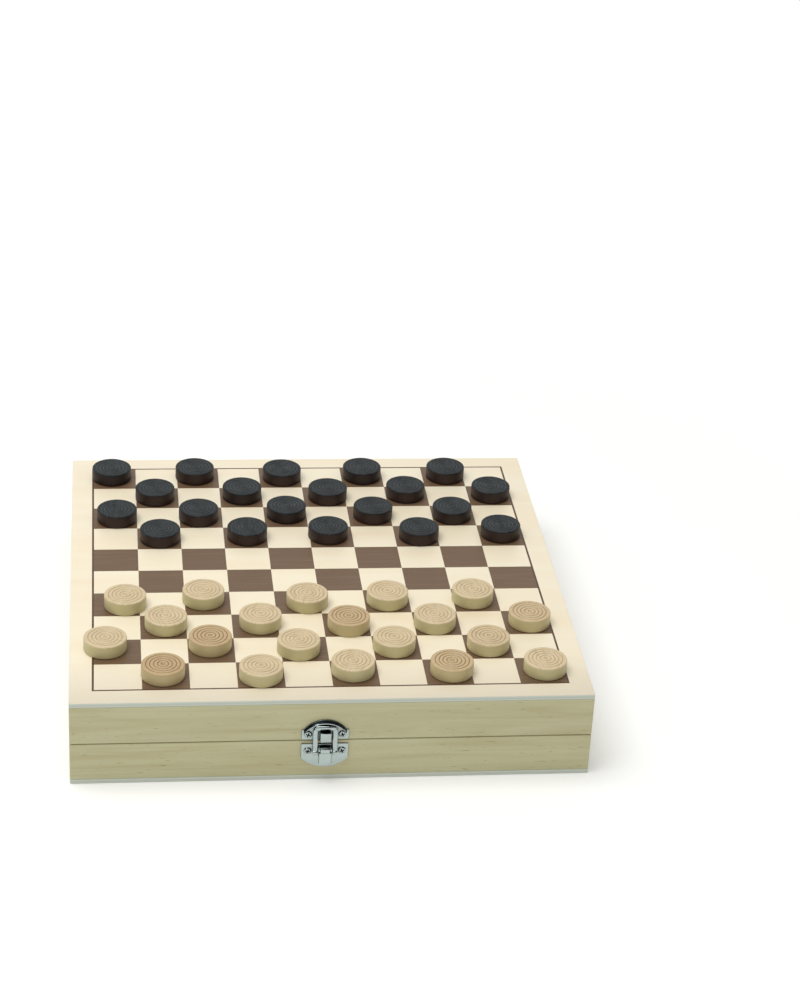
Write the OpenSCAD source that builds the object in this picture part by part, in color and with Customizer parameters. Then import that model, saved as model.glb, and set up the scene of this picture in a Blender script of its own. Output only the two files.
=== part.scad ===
// Games compendium box: a hinged pine case with a draughts board on its lid, a chess board
// under its base, a toggle latch, forty draughts and a chess set laid away inside.
// Millimetres, +Z up, the front towards -Y, the origin in the middle of the face it rests on.

/* [Case] */
// Width of the case, left to right
case_w = 298; // [240:1:420]
// Depth of the case, front to back
case_d = 298; // [240:1:420]
// Height of the four rails of the base
base_rail_h = 23.2; // [20:0.2:45]
// Height of the four rails of the lid
lid_rail_h = 24; // [20:0.2:45]
// Thickness of the rails
rail_t = 10; // [9:0.5:15]
// Thickness of the two board panels
panel_t = 3; // [2:0.2:6]
// Gap between the lid and the base when shut
seam_gap = 0.4; // [0.3:0.1:1]
// Radius on the upright corners of the case
corner_r = 0.8; // [0.4:0.1:3]

/* [Boards] */
// Squares along one side of the draughts board
draughts_squares = 10; // [8:2:12]
// Plain margin outside the draughts squares
draughts_margin = 14; // [8:0.5:25]
// Squares along one side of the chess board
chess_squares = 8; // [8:1:8]
// Plain margin outside the chess squares, where the letters and numbers go
chess_margin = 17; // [10:0.5:30]
// Width of the line round the squares
border_w = 1.2; // [0.6:0.1:3]
// Depth that the printed ink soaks into a panel
print_depth = 0.1; // [0.1:0.05:0.3]
// Bare edge left round each printed square
print_edge = 0.05; // [0.05:0.05:0.2]

/* [Hinges] */
// Width of a hinge along the case
hinge_w = 30; // [20:1:50]
// Height of a leaf from the pin's centre
leaf_h = 11; // [8:0.5:16]
// Thickness of a leaf
leaf_t = 0.9; // [0.6:0.1:1.5]
// Radius of the knuckles
knuckle_r = 1.9; // [1.6:0.1:3]
// Radius of the pin
pin_r = 0.9; // [0.6:0.1:1.2]
// Running clearance round the pin
pin_clear = 0.05; // [0.02:0.01:0.1]
// Gap between neighbouring knuckles
knuckle_gap = 0.25; // [0.2:0.05:0.5]
// Distance from each end of the case to the middle of a hinge
hinge_inset = 55; // [30:1:100]

/* [Screws] */
// Radius of a screw's shank
screw_r = 1.0; // [0.8:0.1:1.4]
// Length of a screw in the wood
screw_len = 7; // [5:0.5:8]
// Radius of a domed head
dome_r = 2.2; // [1.8:0.1:2.8]
// Radius of a countersunk head
sunk_r = 1.9; // [1.6:0.1:2.4]
// Clearance round a shank and under a head
screw_clear = 0.05; // [0.02:0.01:0.2]

/* [Latch] */
// Distance of the latch to the right of the middle of the front
latch_x = -5; // [-20:0.5:20]
// Width of the two latch plates
latch_w = 27; // [24:0.5:36]
// Thickness of the two latch plates
latch_t = 1.0; // [0.8:0.1:1.5]
// Height of the arched top of the catch plate above the seam
catch_top = 14; // [12:0.1:16]
// Depth of the curved bottom of the latch plate below the seam
latch_bottom = 17.6; // [17:0.1:22]
// Distance between the two screws of a plate
latch_screw_span = 19.6; // [18:0.5:28]
// Outer width of the bail
bail_w = 14; // [13.5:0.1:15]
// Width of a bail leg as seen from the front
bail_leg_w = 2.8; // [2:0.1:2.8]
// Thickness of the bail's metal
bail_t = 1.0; // [0.8:0.1:1.2]
// Gap at rest between the bail and the plate behind it
bail_gap = 0.35; // [0.3:0.05:0.5]
// Room on the hook's shelf in front of the bail
hook_throat = 2.6; // [2.6:0.1:3]
// Side gap between the hook and the bail's legs
hook_side_gap = 1.1; // [0.5:0.1:1.5]
// Side gap between the lever's ears and the bail's legs
ear_side_gap = 0.3; // [0.2:0.05:0.5]
// Width of the lever's thumb tab
lever_w = 7.4; // [6.5:0.1:8]
// Radius of the bail's pin
bail_pin_r = 0.6; // [0.5:0.05:0.7]
// Radius of the lever's pin
lever_pin_r = 0.7; // [0.6:0.05:0.9]

/* [Draughts] */
// Diameter of a draught
draught_d = 25; // [20:0.5:30]
// Thickness of a draught
draught_h = 8; // [5:0.5:12]
// Rounding on the edges of a draught
draught_edge = 0.8; // [0.3:0.1:1.5]
// Rings turned into a draught's face
draught_rings = 5; // [2:1:6]
// Depth of a turned ring
ring_depth = 0.4; // [0.2:0.1:1]
// Gap under a draught or a chess piece where it rests
rest_gap = 0.1; // [0.05:0.05:0.3]

/* [Chess set] */
// Height of the king
king_h = 64; // [55:0.5:70]
// Diameter of the king's foot
king_d = 21; // [19:0.5:22]
// Height of the queen
queen_h = 58.5; // [50:0.5:65]
// Diameter of the queen's foot
queen_d = 20.8; // [19:0.5:22]
// Height of a bishop
bishop_h = 51.5; // [42:0.5:58]
// Diameter of a bishop's foot
bishop_d = 18.8; // [16:0.5:21]
// Height of a knight
knight_h = 39.5; // [32:0.5:45]
// Diameter of a knight's foot
knight_d = 17.8; // [15:0.5:20]
// Thickness of a knight's sawn head
knight_t = 8.4; // [6:0.2:10]
// Height of a rook
rook_h = 37.5; // [30:0.5:44]
// Diameter of a rook's foot
rook_d = 18.6; // [16:0.5:20]
// Height of a pawn
pawn_h = 30.5; // [25:0.5:36]
// Diameter of a pawn's foot
pawn_d = 17; // [14:0.5:19]
// Gap between the wall and the feet of the back rank
wall_gap = 3; // [2:0.5:6]
// Gap between the back rank's heads and the pawns' feet
row_gap = 5; // [3:0.5:12]

/* [Hidden] */
$fn = 48;
eps = 0.01;

// Colours of the finishes
pine = "#d2c896";
board_ply = "#f0e3c4";
print_brown = "#6b543f";
nickel = "#c8ccd0";
light_wood = "#cbb385";
dark_draught = "#2b2927";
box_wood = "#cdbe7e";
dark_wood = "#33211c";

// Heights
base_top = panel_t + base_rail_h;
lid_bottom = base_top + seam_gap;
lid_rail_top = lid_bottom + lid_rail_h;
board_top = lid_rail_top + panel_t;
seam_z = base_top + seam_gap / 2;

// Plan sizes
front_y = -case_d / 2;
back_y = case_d / 2;
inner_w = case_w - 2 * rail_t;
inner_d = case_d - 2 * rail_t;
board_side = min(case_w, case_d);
draughts_pitch = (board_side - 2 * draughts_margin) / draughts_squares;
chess_pitch = (board_side - 2 * chess_margin) / chess_squares;

// Hinges, seen from the pin's centre
knuckle_stand = 0.2;
leaf_step = 0.3;
hinge_screw_edge = 6;
hinge_out = knuckle_r + knuckle_stand;
hinge_xs = [-case_w / 2 + hinge_inset, case_w / 2 - hinge_inset];
knuckle_len = (hinge_w - 2 * knuckle_gap) / 3;
leaf_foot = knuckle_r + leaf_step;
hinge_screw_z = (leaf_foot + leaf_h) / 2;
hinge_screw_x = hinge_w / 2 - hinge_screw_edge;

// Screws: spare depth of a pilot hole, height of a domed head, and the cross cut in the heads
pilot_spare = 0.5;
pilot_len = screw_len + pilot_spare;
dome_h = 1.1;
dome_skirt = 0.1;
slot_w = 0.6;
slot_share = 0.55;
dome_slot_depth = 0.8;
sunk_slot_depth = 0.6;

// Latch, seen from the front: x to the right, y up from the seam, out from the case
latch_screw_up = 4.8;
latch_screw_down = -6.2;
catch_foot = 1;
latch_head = -1.9;
catch_arch_r = 0.54 * latch_w;
latch_arch_r = 0.67 * latch_w;
// Top of the catch plate's straight flanks, where its arch starts
plate_flank = 7.3;
// Raised rim along the arch, which stays clear of the screws' heads
rim_h = 1.1;
rim_w = 2.6;
rim_screw_gap = 0.3;
rim_foot = max(plate_flank, latch_screw_up + dome_r + rim_screw_gap);
// Bail: its inner half width, the arch of its corners, and its eyes round the pin
bail_inner = bail_w / 2 - bail_leg_w;
bail_crown = 4.5;
bail_foot = 1.5;
eye_r = 1.2;
// Ears that carry the lever's pin, and the lever's neck between them
ear_t = 1.0;
ear_r = 1.3;
ear_gap = 0.2;
ear_x = bail_inner - ear_side_gap - ear_t / 2;
neck_w = 2 * (ear_x - ear_t / 2 - ear_gap);
// Lever: the boss round its two pins, and how far the boss reaches below the lower one
boss_r = 1.25;
boss_drop = 1.4;
// Thumb tab: how far its top and its end lie below the pivot
tab_top = ear_r + 0.45;
tab_end = 8.5;
// Lever pivot, and the bail's pin on the lever just past dead centre
pivot_stand = 2.4;
pivot_out = latch_t + pivot_stand;
pivot_up = -4.4;
crank_r = 2;
crank_angle = -96;
bail_pin_out = pivot_out + crank_r * cos(crank_angle);
bail_pin_up = pivot_up + crank_r * sin(crank_angle);
// Middle of the bail's crossbar, which lies on the hook
bar_h = 3.1;
bar_out = latch_t + bail_gap + bail_t / 2;
bar_up = 9.25;
bail_len = norm([bar_out - bail_pin_out, bar_up - bail_pin_up]);
bail_lean = atan((bar_out - bail_pin_out) / (bar_up - bail_pin_up));
// Hook: its width inside the bail, its shelf below the crossbar and the lip in front of it
hook_w = 2 * (bail_inner - hook_side_gap);
shelf_gap = 0.4;
shelf_up = bar_up - bar_h / 2 - shelf_gap;
lip_out = bar_out + bail_t / 2 + hook_throat;
hook_foot = catch_foot - 1.2;

// Chess set laid away: pitch along the rows, and where the feet of the two rows stand
men_pitch = inner_w / 8;
rank_foot_y = inner_d / 2 - wall_gap;
pawn_foot_y = rank_foot_y - king_h - row_gap;
rest_z = panel_t + rest_gap;
// Widest point of each head as [radius, height], which touches the floor when the piece lies
king_crown = [0.39 * king_d, 0.755 * king_h];
queen_crown = [0.4 * queen_d, 0.775 * queen_h];
bishop_collar = [0.395 * bishop_d, 0.59 * bishop_h - 0.4];
rook_rim = [0.36 * rook_d + 0.2, rook_h - 0.4];
pawn_head_r = 0.355 * pawn_d;
// Height that the knight's outline is drawn for
knight_drawn_h = 39.5;
// Easing at the top of a foot's rim, and how much deeper the knight's and rook's rims are
rim_ease = 0.5;
knight_rim_more = 1.6;
rook_rim_more = 1;

// Draughts: bare rim of the face, half the width of a turned ring, flat spot in the middle
face_rim = 2.2;
ring_half = 0.45;
face_middle = 0.8;

// How far each draught lies off the middle of its square, right and back, in millimetres on
// 27 mm squares with 25 mm draughts. The scale keeps neighbours clear on other sizes.
nudged_pitch = 27;
nudged_draught_d = 25;
nudge_scale = (draughts_pitch * sqrt(2) - draught_d)
    / (nudged_pitch * sqrt(2) - nudged_draught_d);
light_nudges = [
    [[-1.5, 0.5], [0, -2.5], [-1, 1.5], [2, -0.5], [2.5, 0]],
    [[-7, 4], [-0.5, 4], [-3.5, -1.5], [-1.5, 0], [0, -0.5]],
    [[1.5, 0.5], [3, 1.5], [1, -2.5], [-1.5, -1.5], [1.5, -0.5]],
    [[5, -1.5], [-2.5, 3.5], [5.5, -2], [0, -0.5], [-2, 0.5]]
];
dark_nudges = [
    [[0.5, -1], [1, 0.5], [-2, 1], [1.5, -1.5], [0, 1]],
    [[1, -1.5], [-1.5, -1], [0.5, 2], [2, 0], [-1, -1]],
    [[-1.5, 0], [0.5, 1], [2, -1], [-1, 1.5], [1, 0]],
    [[-2, 1.5], [-2, 2], [1, -0.5], [0, 1], [1.5, 0.5]]
];

// ---------- Outlines ----------

// Points along a circular arc
function arc(centre, r, from, to, steps = 6) =
    [for (i = [0 : steps]) let (a = from + (to - from) * i / steps)
        centre + r * [cos(a), sin(a)]];

// The foot that every chess piece has: a rim, a turned groove and a round shoulder
function foot(r, rim_h, shoulder_h, bell_r) = concat(
    [[0, 0], [r - 0.6, 0], [r, 0.6], [r, rim_h - rim_ease], [r - 0.8, rim_h]],
    [for (i = [0 : 3]) let (a = 90 * i / 3)
        [bell_r + (r - 0.4 - bell_r) * cos(a), rim_h + 0.6 + shoulder_h * sin(a)]]
);

// A hollow curve that draws in from one radius to another
function waist(from, to, steps = 4) =
    [for (i = [1 : steps]) let (t = i / steps)
        [to[0] + (from[0] - to[0]) * (1 - t) * (1 - t), from[1] + (to[1] - from[1]) * t]];

// A turned ring with eased edges
function ring(r, low, high) =
    [[r - 0.5, low], [r, low + 0.4], [r, high - 0.4], [r - 0.5, high]];

// ---------- Case ----------

// A flat slab with rounded upright corners
module slab(w, d, h, r) {
    linear_extrude(h) {
        square([w - 2 * r, d], center = true);
        square([w, d - 2 * r], center = true);
        for (x = [-1, 1], y = [-1, 1])
            translate([x * (w / 2 - r), y * (d / 2 - r)]) circle(r);
    }
}

// A front or back rail, which runs the full width of the case
module long_rail(z, h, side) {
    intersection() {
        translate([0, 0, z]) slab(case_w, case_d, h, corner_r);
        translate([-case_w / 2 - 1, side > 0 ? back_y - rail_t : front_y, z])
            cube([case_w + 2, rail_t, h]);
    }
}

// A left or right rail, which fits between the long ones
module short_rail(z, h, side) {
    translate([side > 0 ? case_w / 2 - rail_t : -case_w / 2, -inner_d / 2, z])
        cube([rail_t, inner_d, h]);
}

// Pilot holes for the screws of both hinges, above or below the pin
module hinge_pilots(side) {
    for (hx = hinge_xs, x = [-1, 1])
        translate([hx + x * hinge_screw_x, back_y + eps, seam_z + side * hinge_screw_z])
            rotate([90, 0, 0]) cylinder(r = screw_r + screw_clear, h = pilot_len);
}

// Pilot holes for the two screws of a latch plate
module latch_pilots(up) {
    for (x = [-1, 1])
        translate([latch_x + x * latch_screw_span / 2, front_y - eps, seam_z + up])
            rotate([-90, 0, 0]) cylinder(r = screw_r + screw_clear, h = pilot_len);
}

// The printed squares and the line round them, cut or laid to a depth
module squares_and_line(count, pitch, dark_from, depth, edge) {
    side = count * pitch;
    for (c = [0 : count - 1], r = [0 : count - 1])
        if ((c + r) % 2 == dark_from)
            translate([-side / 2 + c * pitch + edge, -side / 2 + r * pitch + edge, 0])
                cube([pitch - 2 * edge, pitch - 2 * edge, depth]);
    translate([0, 0, depth / 2]) difference() {
        cube([side + 2 * border_w, side + 2 * border_w, depth], center = true);
        cube([side + 2 * edge, side + 2 * edge, depth + 1], center = true);
    }
}

module draughts_ink(depth) {
    translate([0, 0, board_top - print_depth])
        squares_and_line(draughts_squares, draughts_pitch, 1, depth, print_edge);
}

module chess_ink(depth) {
    translate([0, 0, print_depth - depth])
        squares_and_line(chess_squares, chess_pitch, 0, depth, print_edge);
}

module draughts_board_panel() {
    color(board_ply) difference() {
        translate([0, 0, lid_rail_top]) slab(case_w, case_d, panel_t, corner_r);
        draughts_ink(print_depth + 1);
    }
}

module draughts_board_print() {
    color(print_brown) draughts_ink(print_depth);
}

module chess_board_panel() {
    color(board_ply) difference() {
        slab(case_w, case_d, panel_t, corner_r);
        chess_ink(print_depth + 1);
    }
}

module chess_board_print() {
    color(print_brown) chess_ink(print_depth);
}

module lid_front_rail() {
    color(pine) difference() {
        long_rail(lid_bottom, lid_rail_h, -1);
        latch_pilots(latch_screw_up);
    }
}

module lid_back_rail() {
    color(pine) difference() {
        long_rail(lid_bottom, lid_rail_h, 1);
        hinge_pilots(1);
    }
}

module lid_left_rail() {
    color(pine) short_rail(lid_bottom, lid_rail_h, -1);
}

module lid_right_rail() {
    color(pine) short_rail(lid_bottom, lid_rail_h, 1);
}

module base_front_rail() {
    color(pine) difference() {
        long_rail(panel_t, base_rail_h, -1);
        latch_pilots(latch_screw_down);
    }
}

module base_back_rail() {
    color(pine) difference() {
        long_rail(panel_t, base_rail_h, 1);
        hinge_pilots(-1);
    }
}

module base_left_rail() {
    color(pine) short_rail(panel_t, base_rail_h, -1);
}

module base_right_rail() {
    color(pine) short_rail(panel_t, base_rail_h, 1);
}

// ---------- Hinges ----------

// Moves a shape to a hinge's pin; side is 1 for the lid's leaf and -1 for the base's
module at_hinge(hx, side = 1) {
    translate([hx, back_y + hinge_out, seam_z]) scale([1, 1, side]) children();
}

// One length of knuckle with the tongue that joins it to the leaf
module knuckle(x, len) {
    translate([x, 0, 0]) rotate([0, 90, 0]) cylinder(r = knuckle_r, h = len);
    translate([x, -hinge_out, 0]) cube([len, leaf_t, leaf_foot + eps]);
}

// A leaf with a knuckle at each start given
module leaf(starts) {
    color(nickel) difference() {
        union() {
            translate([-hinge_w / 2, -hinge_out, leaf_foot])
                cube([hinge_w, leaf_t, leaf_h - leaf_foot]);
            for (x = starts) knuckle(x, knuckle_len);
        }
        translate([-hinge_w / 2 - 1, 0, 0]) rotate([0, 90, 0])
            cylinder(r = pin_r + pin_clear, h = hinge_w + 2);
        for (x = [-1, 1])
            translate([x * hinge_screw_x, -hinge_out, hinge_screw_z]) rotate([-90, 0, 0])
                sunk_screw_space();
    }
}

// Clearance for a countersunk head, from the back of the leaf outwards
module sunk_screw_space() {
    translate([0, 0, -1]) cylinder(r = screw_r + screw_clear, h = leaf_t + 2);
    cylinder(r1 = screw_r + screw_clear, r2 = sunk_r + screw_clear, h = leaf_t);
    translate([0, 0, leaf_t - eps]) cylinder(r = sunk_r + screw_clear, h = 1);
}

module lid_leaf(hx) {
    at_hinge(hx) leaf([-knuckle_len / 2]);
}

module base_leaf(hx) {
    at_hinge(hx, -1) leaf([-hinge_w / 2, hinge_w / 2 - knuckle_len]);
}

module hinge_pin(hx) {
    color(nickel) at_hinge(hx) translate([-hinge_w / 2, 0, 0]) rotate([0, 90, 0])
        cylinder(r = pin_r, h = hinge_w);
}

// The cross cut into a screw's head, from the top of the head down
module cross_slot(r, depth) {
    for (a = [0, 90])
        rotate(a) translate([-r * slot_share, -slot_w / 2, -depth])
            cube([2 * r * slot_share, slot_w, depth + 1]);
}

// A countersunk screw along +Z with the top of its head at leaf_t
module sunk_screw() {
    difference() {
        union() {
            translate([0, 0, -screw_len]) cylinder(r = screw_r, h = screw_len + eps);
            cylinder(r1 = screw_r, r2 = sunk_r, h = leaf_t);
        }
        translate([0, 0, leaf_t]) cross_slot(sunk_r, sunk_slot_depth);
    }
}

module hinge_screws(side) {
    color(nickel) for (hx = hinge_xs, x = [-1, 1])
        at_hinge(hx) translate([x * hinge_screw_x, -hinge_out, side * hinge_screw_z])
            rotate([-90, 0, 0]) sunk_screw();
}

// ---------- Latch ----------

// Local frame of the latch: x right, y up from the seam, z out from the front of the case
module at_latch() {
    translate([latch_x, front_y, seam_z]) rotate([90, 0, 0]) children();
}

// Extrudes an outline given as [out, up] to a width across the latch
module across(w) {
    rotate([0, -90, 0]) linear_extrude(w, center = true) children();
}

// Outline of the catch plate: straight flanks that end in a small shoulder, and an arched top
module catch_outline() {
    translate([-latch_w / 2, catch_foot]) square([latch_w, plate_flank - catch_foot]);
    intersection() {
        translate([-latch_w / 2, catch_foot]) square([latch_w, catch_top]);
        translate([0, catch_top - catch_arch_r]) circle(catch_arch_r, $fn = 96);
    }
}

// Outline of the latch plate: straight flanks and a curved bottom
module latch_outline() {
    intersection() {
        translate([-latch_w / 2, -latch_bottom]) square([latch_w, latch_bottom + latch_head]);
        translate([0, latch_arch_r - latch_bottom]) circle(latch_arch_r, $fn = 96);
    }
}

module plate_holes(up) {
    for (x = [-1, 1])
        translate([x * latch_screw_span / 2, up, -1])
            cylinder(r = screw_r + 2 * screw_clear, h = latch_t + 2);
}

// Side view of the hook: a shelf for the bail, a raised lip and a rounded nose
module hook_outline() {
    polygon([
        [latch_t / 2, hook_foot + 0.2], [latch_t / 2, shelf_up],
        [lip_out, shelf_up], [lip_out + 0.4, shelf_up + 0.65], [lip_out + 0.8, shelf_up + 0.8],
        [lip_out + 1.15, shelf_up + 0.5], [lip_out + 1.15, shelf_up - 0.6],
        [lip_out + 0.35, hook_foot + 2.4], [lip_out - 1.05, hook_foot + 0.5],
        [lip_out - 2.55, hook_foot]
    ]);
}

module catch_plate() {
    color(nickel) at_latch() difference() {
        union() {
            linear_extrude(latch_t) catch_outline();
            // Raised rim along the arch
            linear_extrude(latch_t + rim_h) intersection() {
                translate([-latch_w / 2, rim_foot]) square([latch_w, catch_top]);
                difference() {
                    catch_outline();
                    translate([0, -rim_w]) catch_outline();
                }
            }
            across(hook_w) hook_outline();
        }
        plate_holes(latch_screw_up);
    }
}

// One of the two ears that carry the lever's pin
module ear() {
    across(ear_t) {
        translate([pivot_out, pivot_up]) circle(ear_r);
        translate([latch_t / 2, pivot_up - ear_r]) square([pivot_out - latch_t / 2, 2 * ear_r]);
    }
}

module latch_plate() {
    color(nickel) at_latch() difference() {
        union() {
            linear_extrude(latch_t) latch_outline();
            for (x = [-1, 1]) translate([x * ear_x, 0, 0]) ear();
        }
        plate_holes(latch_screw_down);
        translate([0, pivot_up, pivot_out]) rotate([0, 90, 0])
            cylinder(r = lever_pin_r + pin_clear, h = latch_w, center = true);
    }
}

// Side view of the lever: a boss round both pins and a thumb tab that flares outwards
module lever_boss_outline() {
    translate([pivot_out, pivot_up]) circle(boss_r);
    translate([bail_pin_out, bail_pin_up]) circle(boss_r);
    translate([bail_pin_out - boss_r, bail_pin_up - boss_drop])
        square([pivot_out - bail_pin_out + 2 * boss_r, pivot_up - bail_pin_up + boss_drop]);
}

module lever_tab_outline() {
    polygon([
        [pivot_out + 0.7, pivot_up - tab_top], [pivot_out + 1.35, pivot_up - tab_top],
        [pivot_out + 1.25, pivot_up - 5], [pivot_out + 1.5, pivot_up - tab_end],
        [pivot_out + 0.7, pivot_up - tab_end - 0.2], [pivot_out + 0.45, pivot_up - 5.1]
    ]);
}

module latch_lever() {
    color(nickel) at_latch() difference() {
        union() {
            across(neck_w) lever_boss_outline();
            across(lever_w) lever_tab_outline();
        }
        for (p = [[pivot_up, pivot_out, lever_pin_r], [bail_pin_up, bail_pin_out, bail_pin_r]])
            translate([0, p[0], p[1]]) rotate([0, 90, 0])
                cylinder(r = p[2] + pin_clear, h = latch_w, center = true);
    }
}

module lever_pin() {
    color(nickel) at_latch() translate([0, pivot_up, pivot_out]) rotate([0, 90, 0])
        cylinder(r = lever_pin_r, h = 2 * ear_x + ear_t, center = true);
}

// Front view of the bail as a flat blank: two legs joined by an arched crossbar
module bail_blank() {
    high = bail_len + bar_h / 2;
    difference() {
        union() {
            translate([-bail_w / 2, -bail_foot])
                square([bail_w, high - bail_crown + bail_foot]);
            translate([-bail_w / 2 + bail_crown, -bail_foot])
                square([bail_w - 2 * bail_crown, high + bail_foot]);
            for (x = [-1, 1])
                translate([x * (bail_w / 2 - bail_crown), high - bail_crown])
                    circle(bail_crown);
        }
        translate([-bail_inner, -bail_foot - 1])
            square([2 * bail_inner, bail_len - bar_h / 2 + bail_foot + 1]);
    }
}

module latch_bail() {
    color(nickel) at_latch() translate([0, bail_pin_up, bail_pin_out]) rotate([bail_lean, 0, 0])
        difference() {
            union() {
                translate([0, 0, -bail_t / 2]) linear_extrude(bail_t) bail_blank();
                // Eyes round the pin at the foot of each leg
                for (x = [-1, 1])
                    translate([x * (bail_inner + bail_leg_w / 2), 0, 0]) rotate([0, 90, 0])
                        cylinder(r = eye_r, h = bail_leg_w, center = true);
            }
            rotate([0, 90, 0]) cylinder(r = bail_pin_r + pin_clear, h = latch_w, center = true);
        }
}

module bail_pin() {
    color(nickel) at_latch() translate([0, bail_pin_up, bail_pin_out]) rotate([0, 90, 0])
        cylinder(r = bail_pin_r, h = bail_w, center = true);
}

// A domed screw along +Z with its head on a plate of the latch's thickness
module domed_screw() {
    difference() {
        union() {
            translate([0, 0, -screw_len]) cylinder(r = screw_r, h = screw_len + latch_t + eps);
            translate([0, 0, latch_t]) rotate_extrude() polygon(concat(
                [[0, 0], [dome_r, 0]],
                [for (i = [0 : 4]) let (a = 90 * i / 4)
                    [dome_r * cos(a), dome_h * sin(a) + dome_skirt]]
            ));
        }
        translate([0, 0, latch_t + dome_h]) cross_slot(dome_r, dome_slot_depth);
    }
}

module plate_screws(up) {
    color(nickel) at_latch() for (x = [-1, 1])
        translate([x * latch_screw_span / 2, up, 0]) rotate(20 * x) domed_screw();
}

// ---------- Draughts ----------

module draught() {
    r = draught_d / 2;
    rim = r - face_rim;
    step = (rim - face_middle) / draught_rings;
    rotate_extrude() polygon(concat(
        [[0, 0], [r - draught_edge, 0], [r, draught_edge], [r, draught_h - draught_edge]],
        [[r - draught_edge, draught_h]],
        [for (i = [0 : draught_rings - 1], p = [[ring_half, 0], [0, -ring_depth], [-ring_half, 0]])
            [rim - i * step + p[0], draught_h + p[1]]],
        [[0, draught_h]]
    ));
}

// Five draughts on the dark squares of one row, counted from the front of the board
module draughts_row(row, finish, nudges) {
    first = (row + 1) % 2;
    side = draughts_squares * draughts_pitch;
    color(finish) for (i = [0 : len(nudges) - 1]) {
        x = (first + 2 * i + 0.5) * draughts_pitch - side / 2;
        y = (row + 0.5) * draughts_pitch - side / 2;
        nudge = nudge_scale * nudges[i];
        translate([x + nudge[0], y + nudge[1], board_top + rest_gap]) draught();
    }
}

module light_draughts_row(n) {
    draughts_row(n - 1, light_wood, light_nudges[n - 1]);
}

module dark_draughts_row(n) {
    draughts_row(draughts_squares - n, dark_draught, dark_nudges[4 - n]);
}

// ---------- Chess set ----------

module turned(outline) {
    rotate_extrude() polygon(outline);
}

// Proportions of each piece, in shares of its height; radii in shares of its foot's radius
function rim_top(h) = 0.05 * h + 3.4;

module king() {
    r = king_d / 2;
    h = king_h;
    crown = king_crown[1];
    turned(concat(
        foot(r, rim_top(h), 3.5, 0.76 * r),
        waist([0.76 * r, 0.19 * h], [0.47 * r, 0.44 * h]),
        ring(0.84 * r, 0.47 * h, 0.515 * h), ring(0.67 * r, 0.52 * h, 0.555 * h),
        [[0.51 * r, 0.6 * h], [0.58 * r, 0.67 * h], [0.76 * r, crown - 1], king_crown],
        [[0.68 * r, crown + 2], [0.36 * r, 0.82 * h], [0.3 * r, 0.84 * h], [0, 0.84 * h]]
    ));
    // Finial: a flat-sided block with rounded corners and a notch in each side
    difference() {
        translate([0, 0, 0.835 * h]) intersection() {
            cylinder(r = 0.42 * r, h = 0.165 * h);
            translate([-r / 2, -2.9, 0]) cube([r, 5.8, h]);
            translate([0, 0, 0.0825 * h]) rotate([90, 0, 0])
                cylinder(r = 0.102 * h, h = r, center = true);
        }
        for (x = [-1, 1])
            translate([x * 0.45 * r, 0, 0.9 * h]) rotate([90, 0, 0])
                cylinder(r = 0.13 * r, h = r, center = true);
    }
}

module queen() {
    r = queen_d / 2;
    h = queen_h;
    crown = queen_crown[1];
    knob_r = 0.45 * r;
    turned(concat(
        foot(r, rim_top(h), 3.4, 0.76 * r),
        waist([0.76 * r, 0.19 * h], [0.45 * r, 0.45 * h]),
        ring(0.83 * r, 0.485 * h, 0.535 * h), ring(0.66 * r, 0.54 * h, 0.575 * h),
        [[0.52 * r, 0.63 * h], [0.6 * r, 0.69 * h], [0.78 * r, crown - 1], queen_crown],
        [[0.7 * r, crown + 2], [0.36 * r, 0.855 * h]],
        arc([0, h - knob_r], knob_r, -40, 90)
    ));
}

module bishop() {
    r = bishop_d / 2;
    h = bishop_h;
    knob_r = 0.56 * r;
    turned(concat(
        foot(r, rim_top(h), 3.4, 0.72 * r),
        waist([0.72 * r, 0.24 * h], [0.48 * r, 0.42 * h]),
        ring(0.79 * r, 0.47 * h, 0.53 * h), ring(0.79 * r, 0.54 * h, 0.59 * h),
        [[0.74 * r, 0.6 * h], [0.77 * r, 0.64 * h], [0.72 * r, 0.69 * h], [0.56 * r, 0.76 * h]],
        [[0.44 * r, 0.815 * h]],
        arc([0, h - knob_r], knob_r, -35, 90)
    ));
}

// Side view of a knight's head, facing +X, at the height it is drawn for
module knight_outline() {
    polygon(concat(
        [[-4.6, 11], [-6.4, 14.5], [-7.3, 19], [-7.2, 38.4], [-6.2, 39.5], [-1.6, 39.3]],
        [[0.8, 37], [9.6, 36.3]], arc([9.6, 35.3], 1, 90, 0, 2),
        arc([9.6, 27], 1, 0, -90, 2), [[5.4, 25.7], [4.7, 24.9], [8.9, 21]],
        arc([5.2, 17], 4.8, 40, -60, 4), [[4.8, 11]]
    ));
}

module knight() {
    r = knight_d / 2;
    turned(concat(
        foot(r, rim_top(knight_h) + knight_rim_more, 2.6, 0.6 * r),
        [[0.6 * r, 12], [0, 12]]
    ));
    rotate([90, 0, 0]) linear_extrude(knight_t, center = true)
        scale(knight_h / knight_drawn_h) knight_outline();
}

module rook() {
    r = rook_d / 2;
    h = rook_h;
    cup_r = 0.72 * r;
    turned(concat(
        foot(r, rim_top(h) + rook_rim_more, 3, 0.74 * r),
        waist([0.74 * r, 0.3 * h], [0.48 * r, 0.52 * h]),
        [[0.5 * r, 0.58 * h], [cup_r - 0.3, 0.66 * h]],
        ring(cup_r, 0.67 * h, 0.735 * h), ring(cup_r, 0.745 * h, 0.81 * h),
        [[cup_r, 0.825 * h], [cup_r + 0.2, h - 0.4], [cup_r - 0.3, h], [cup_r - 1.1, h]],
        [[cup_r - 1.3, h - 2.4], [0, h - 2.6]]
    ));
}

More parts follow.
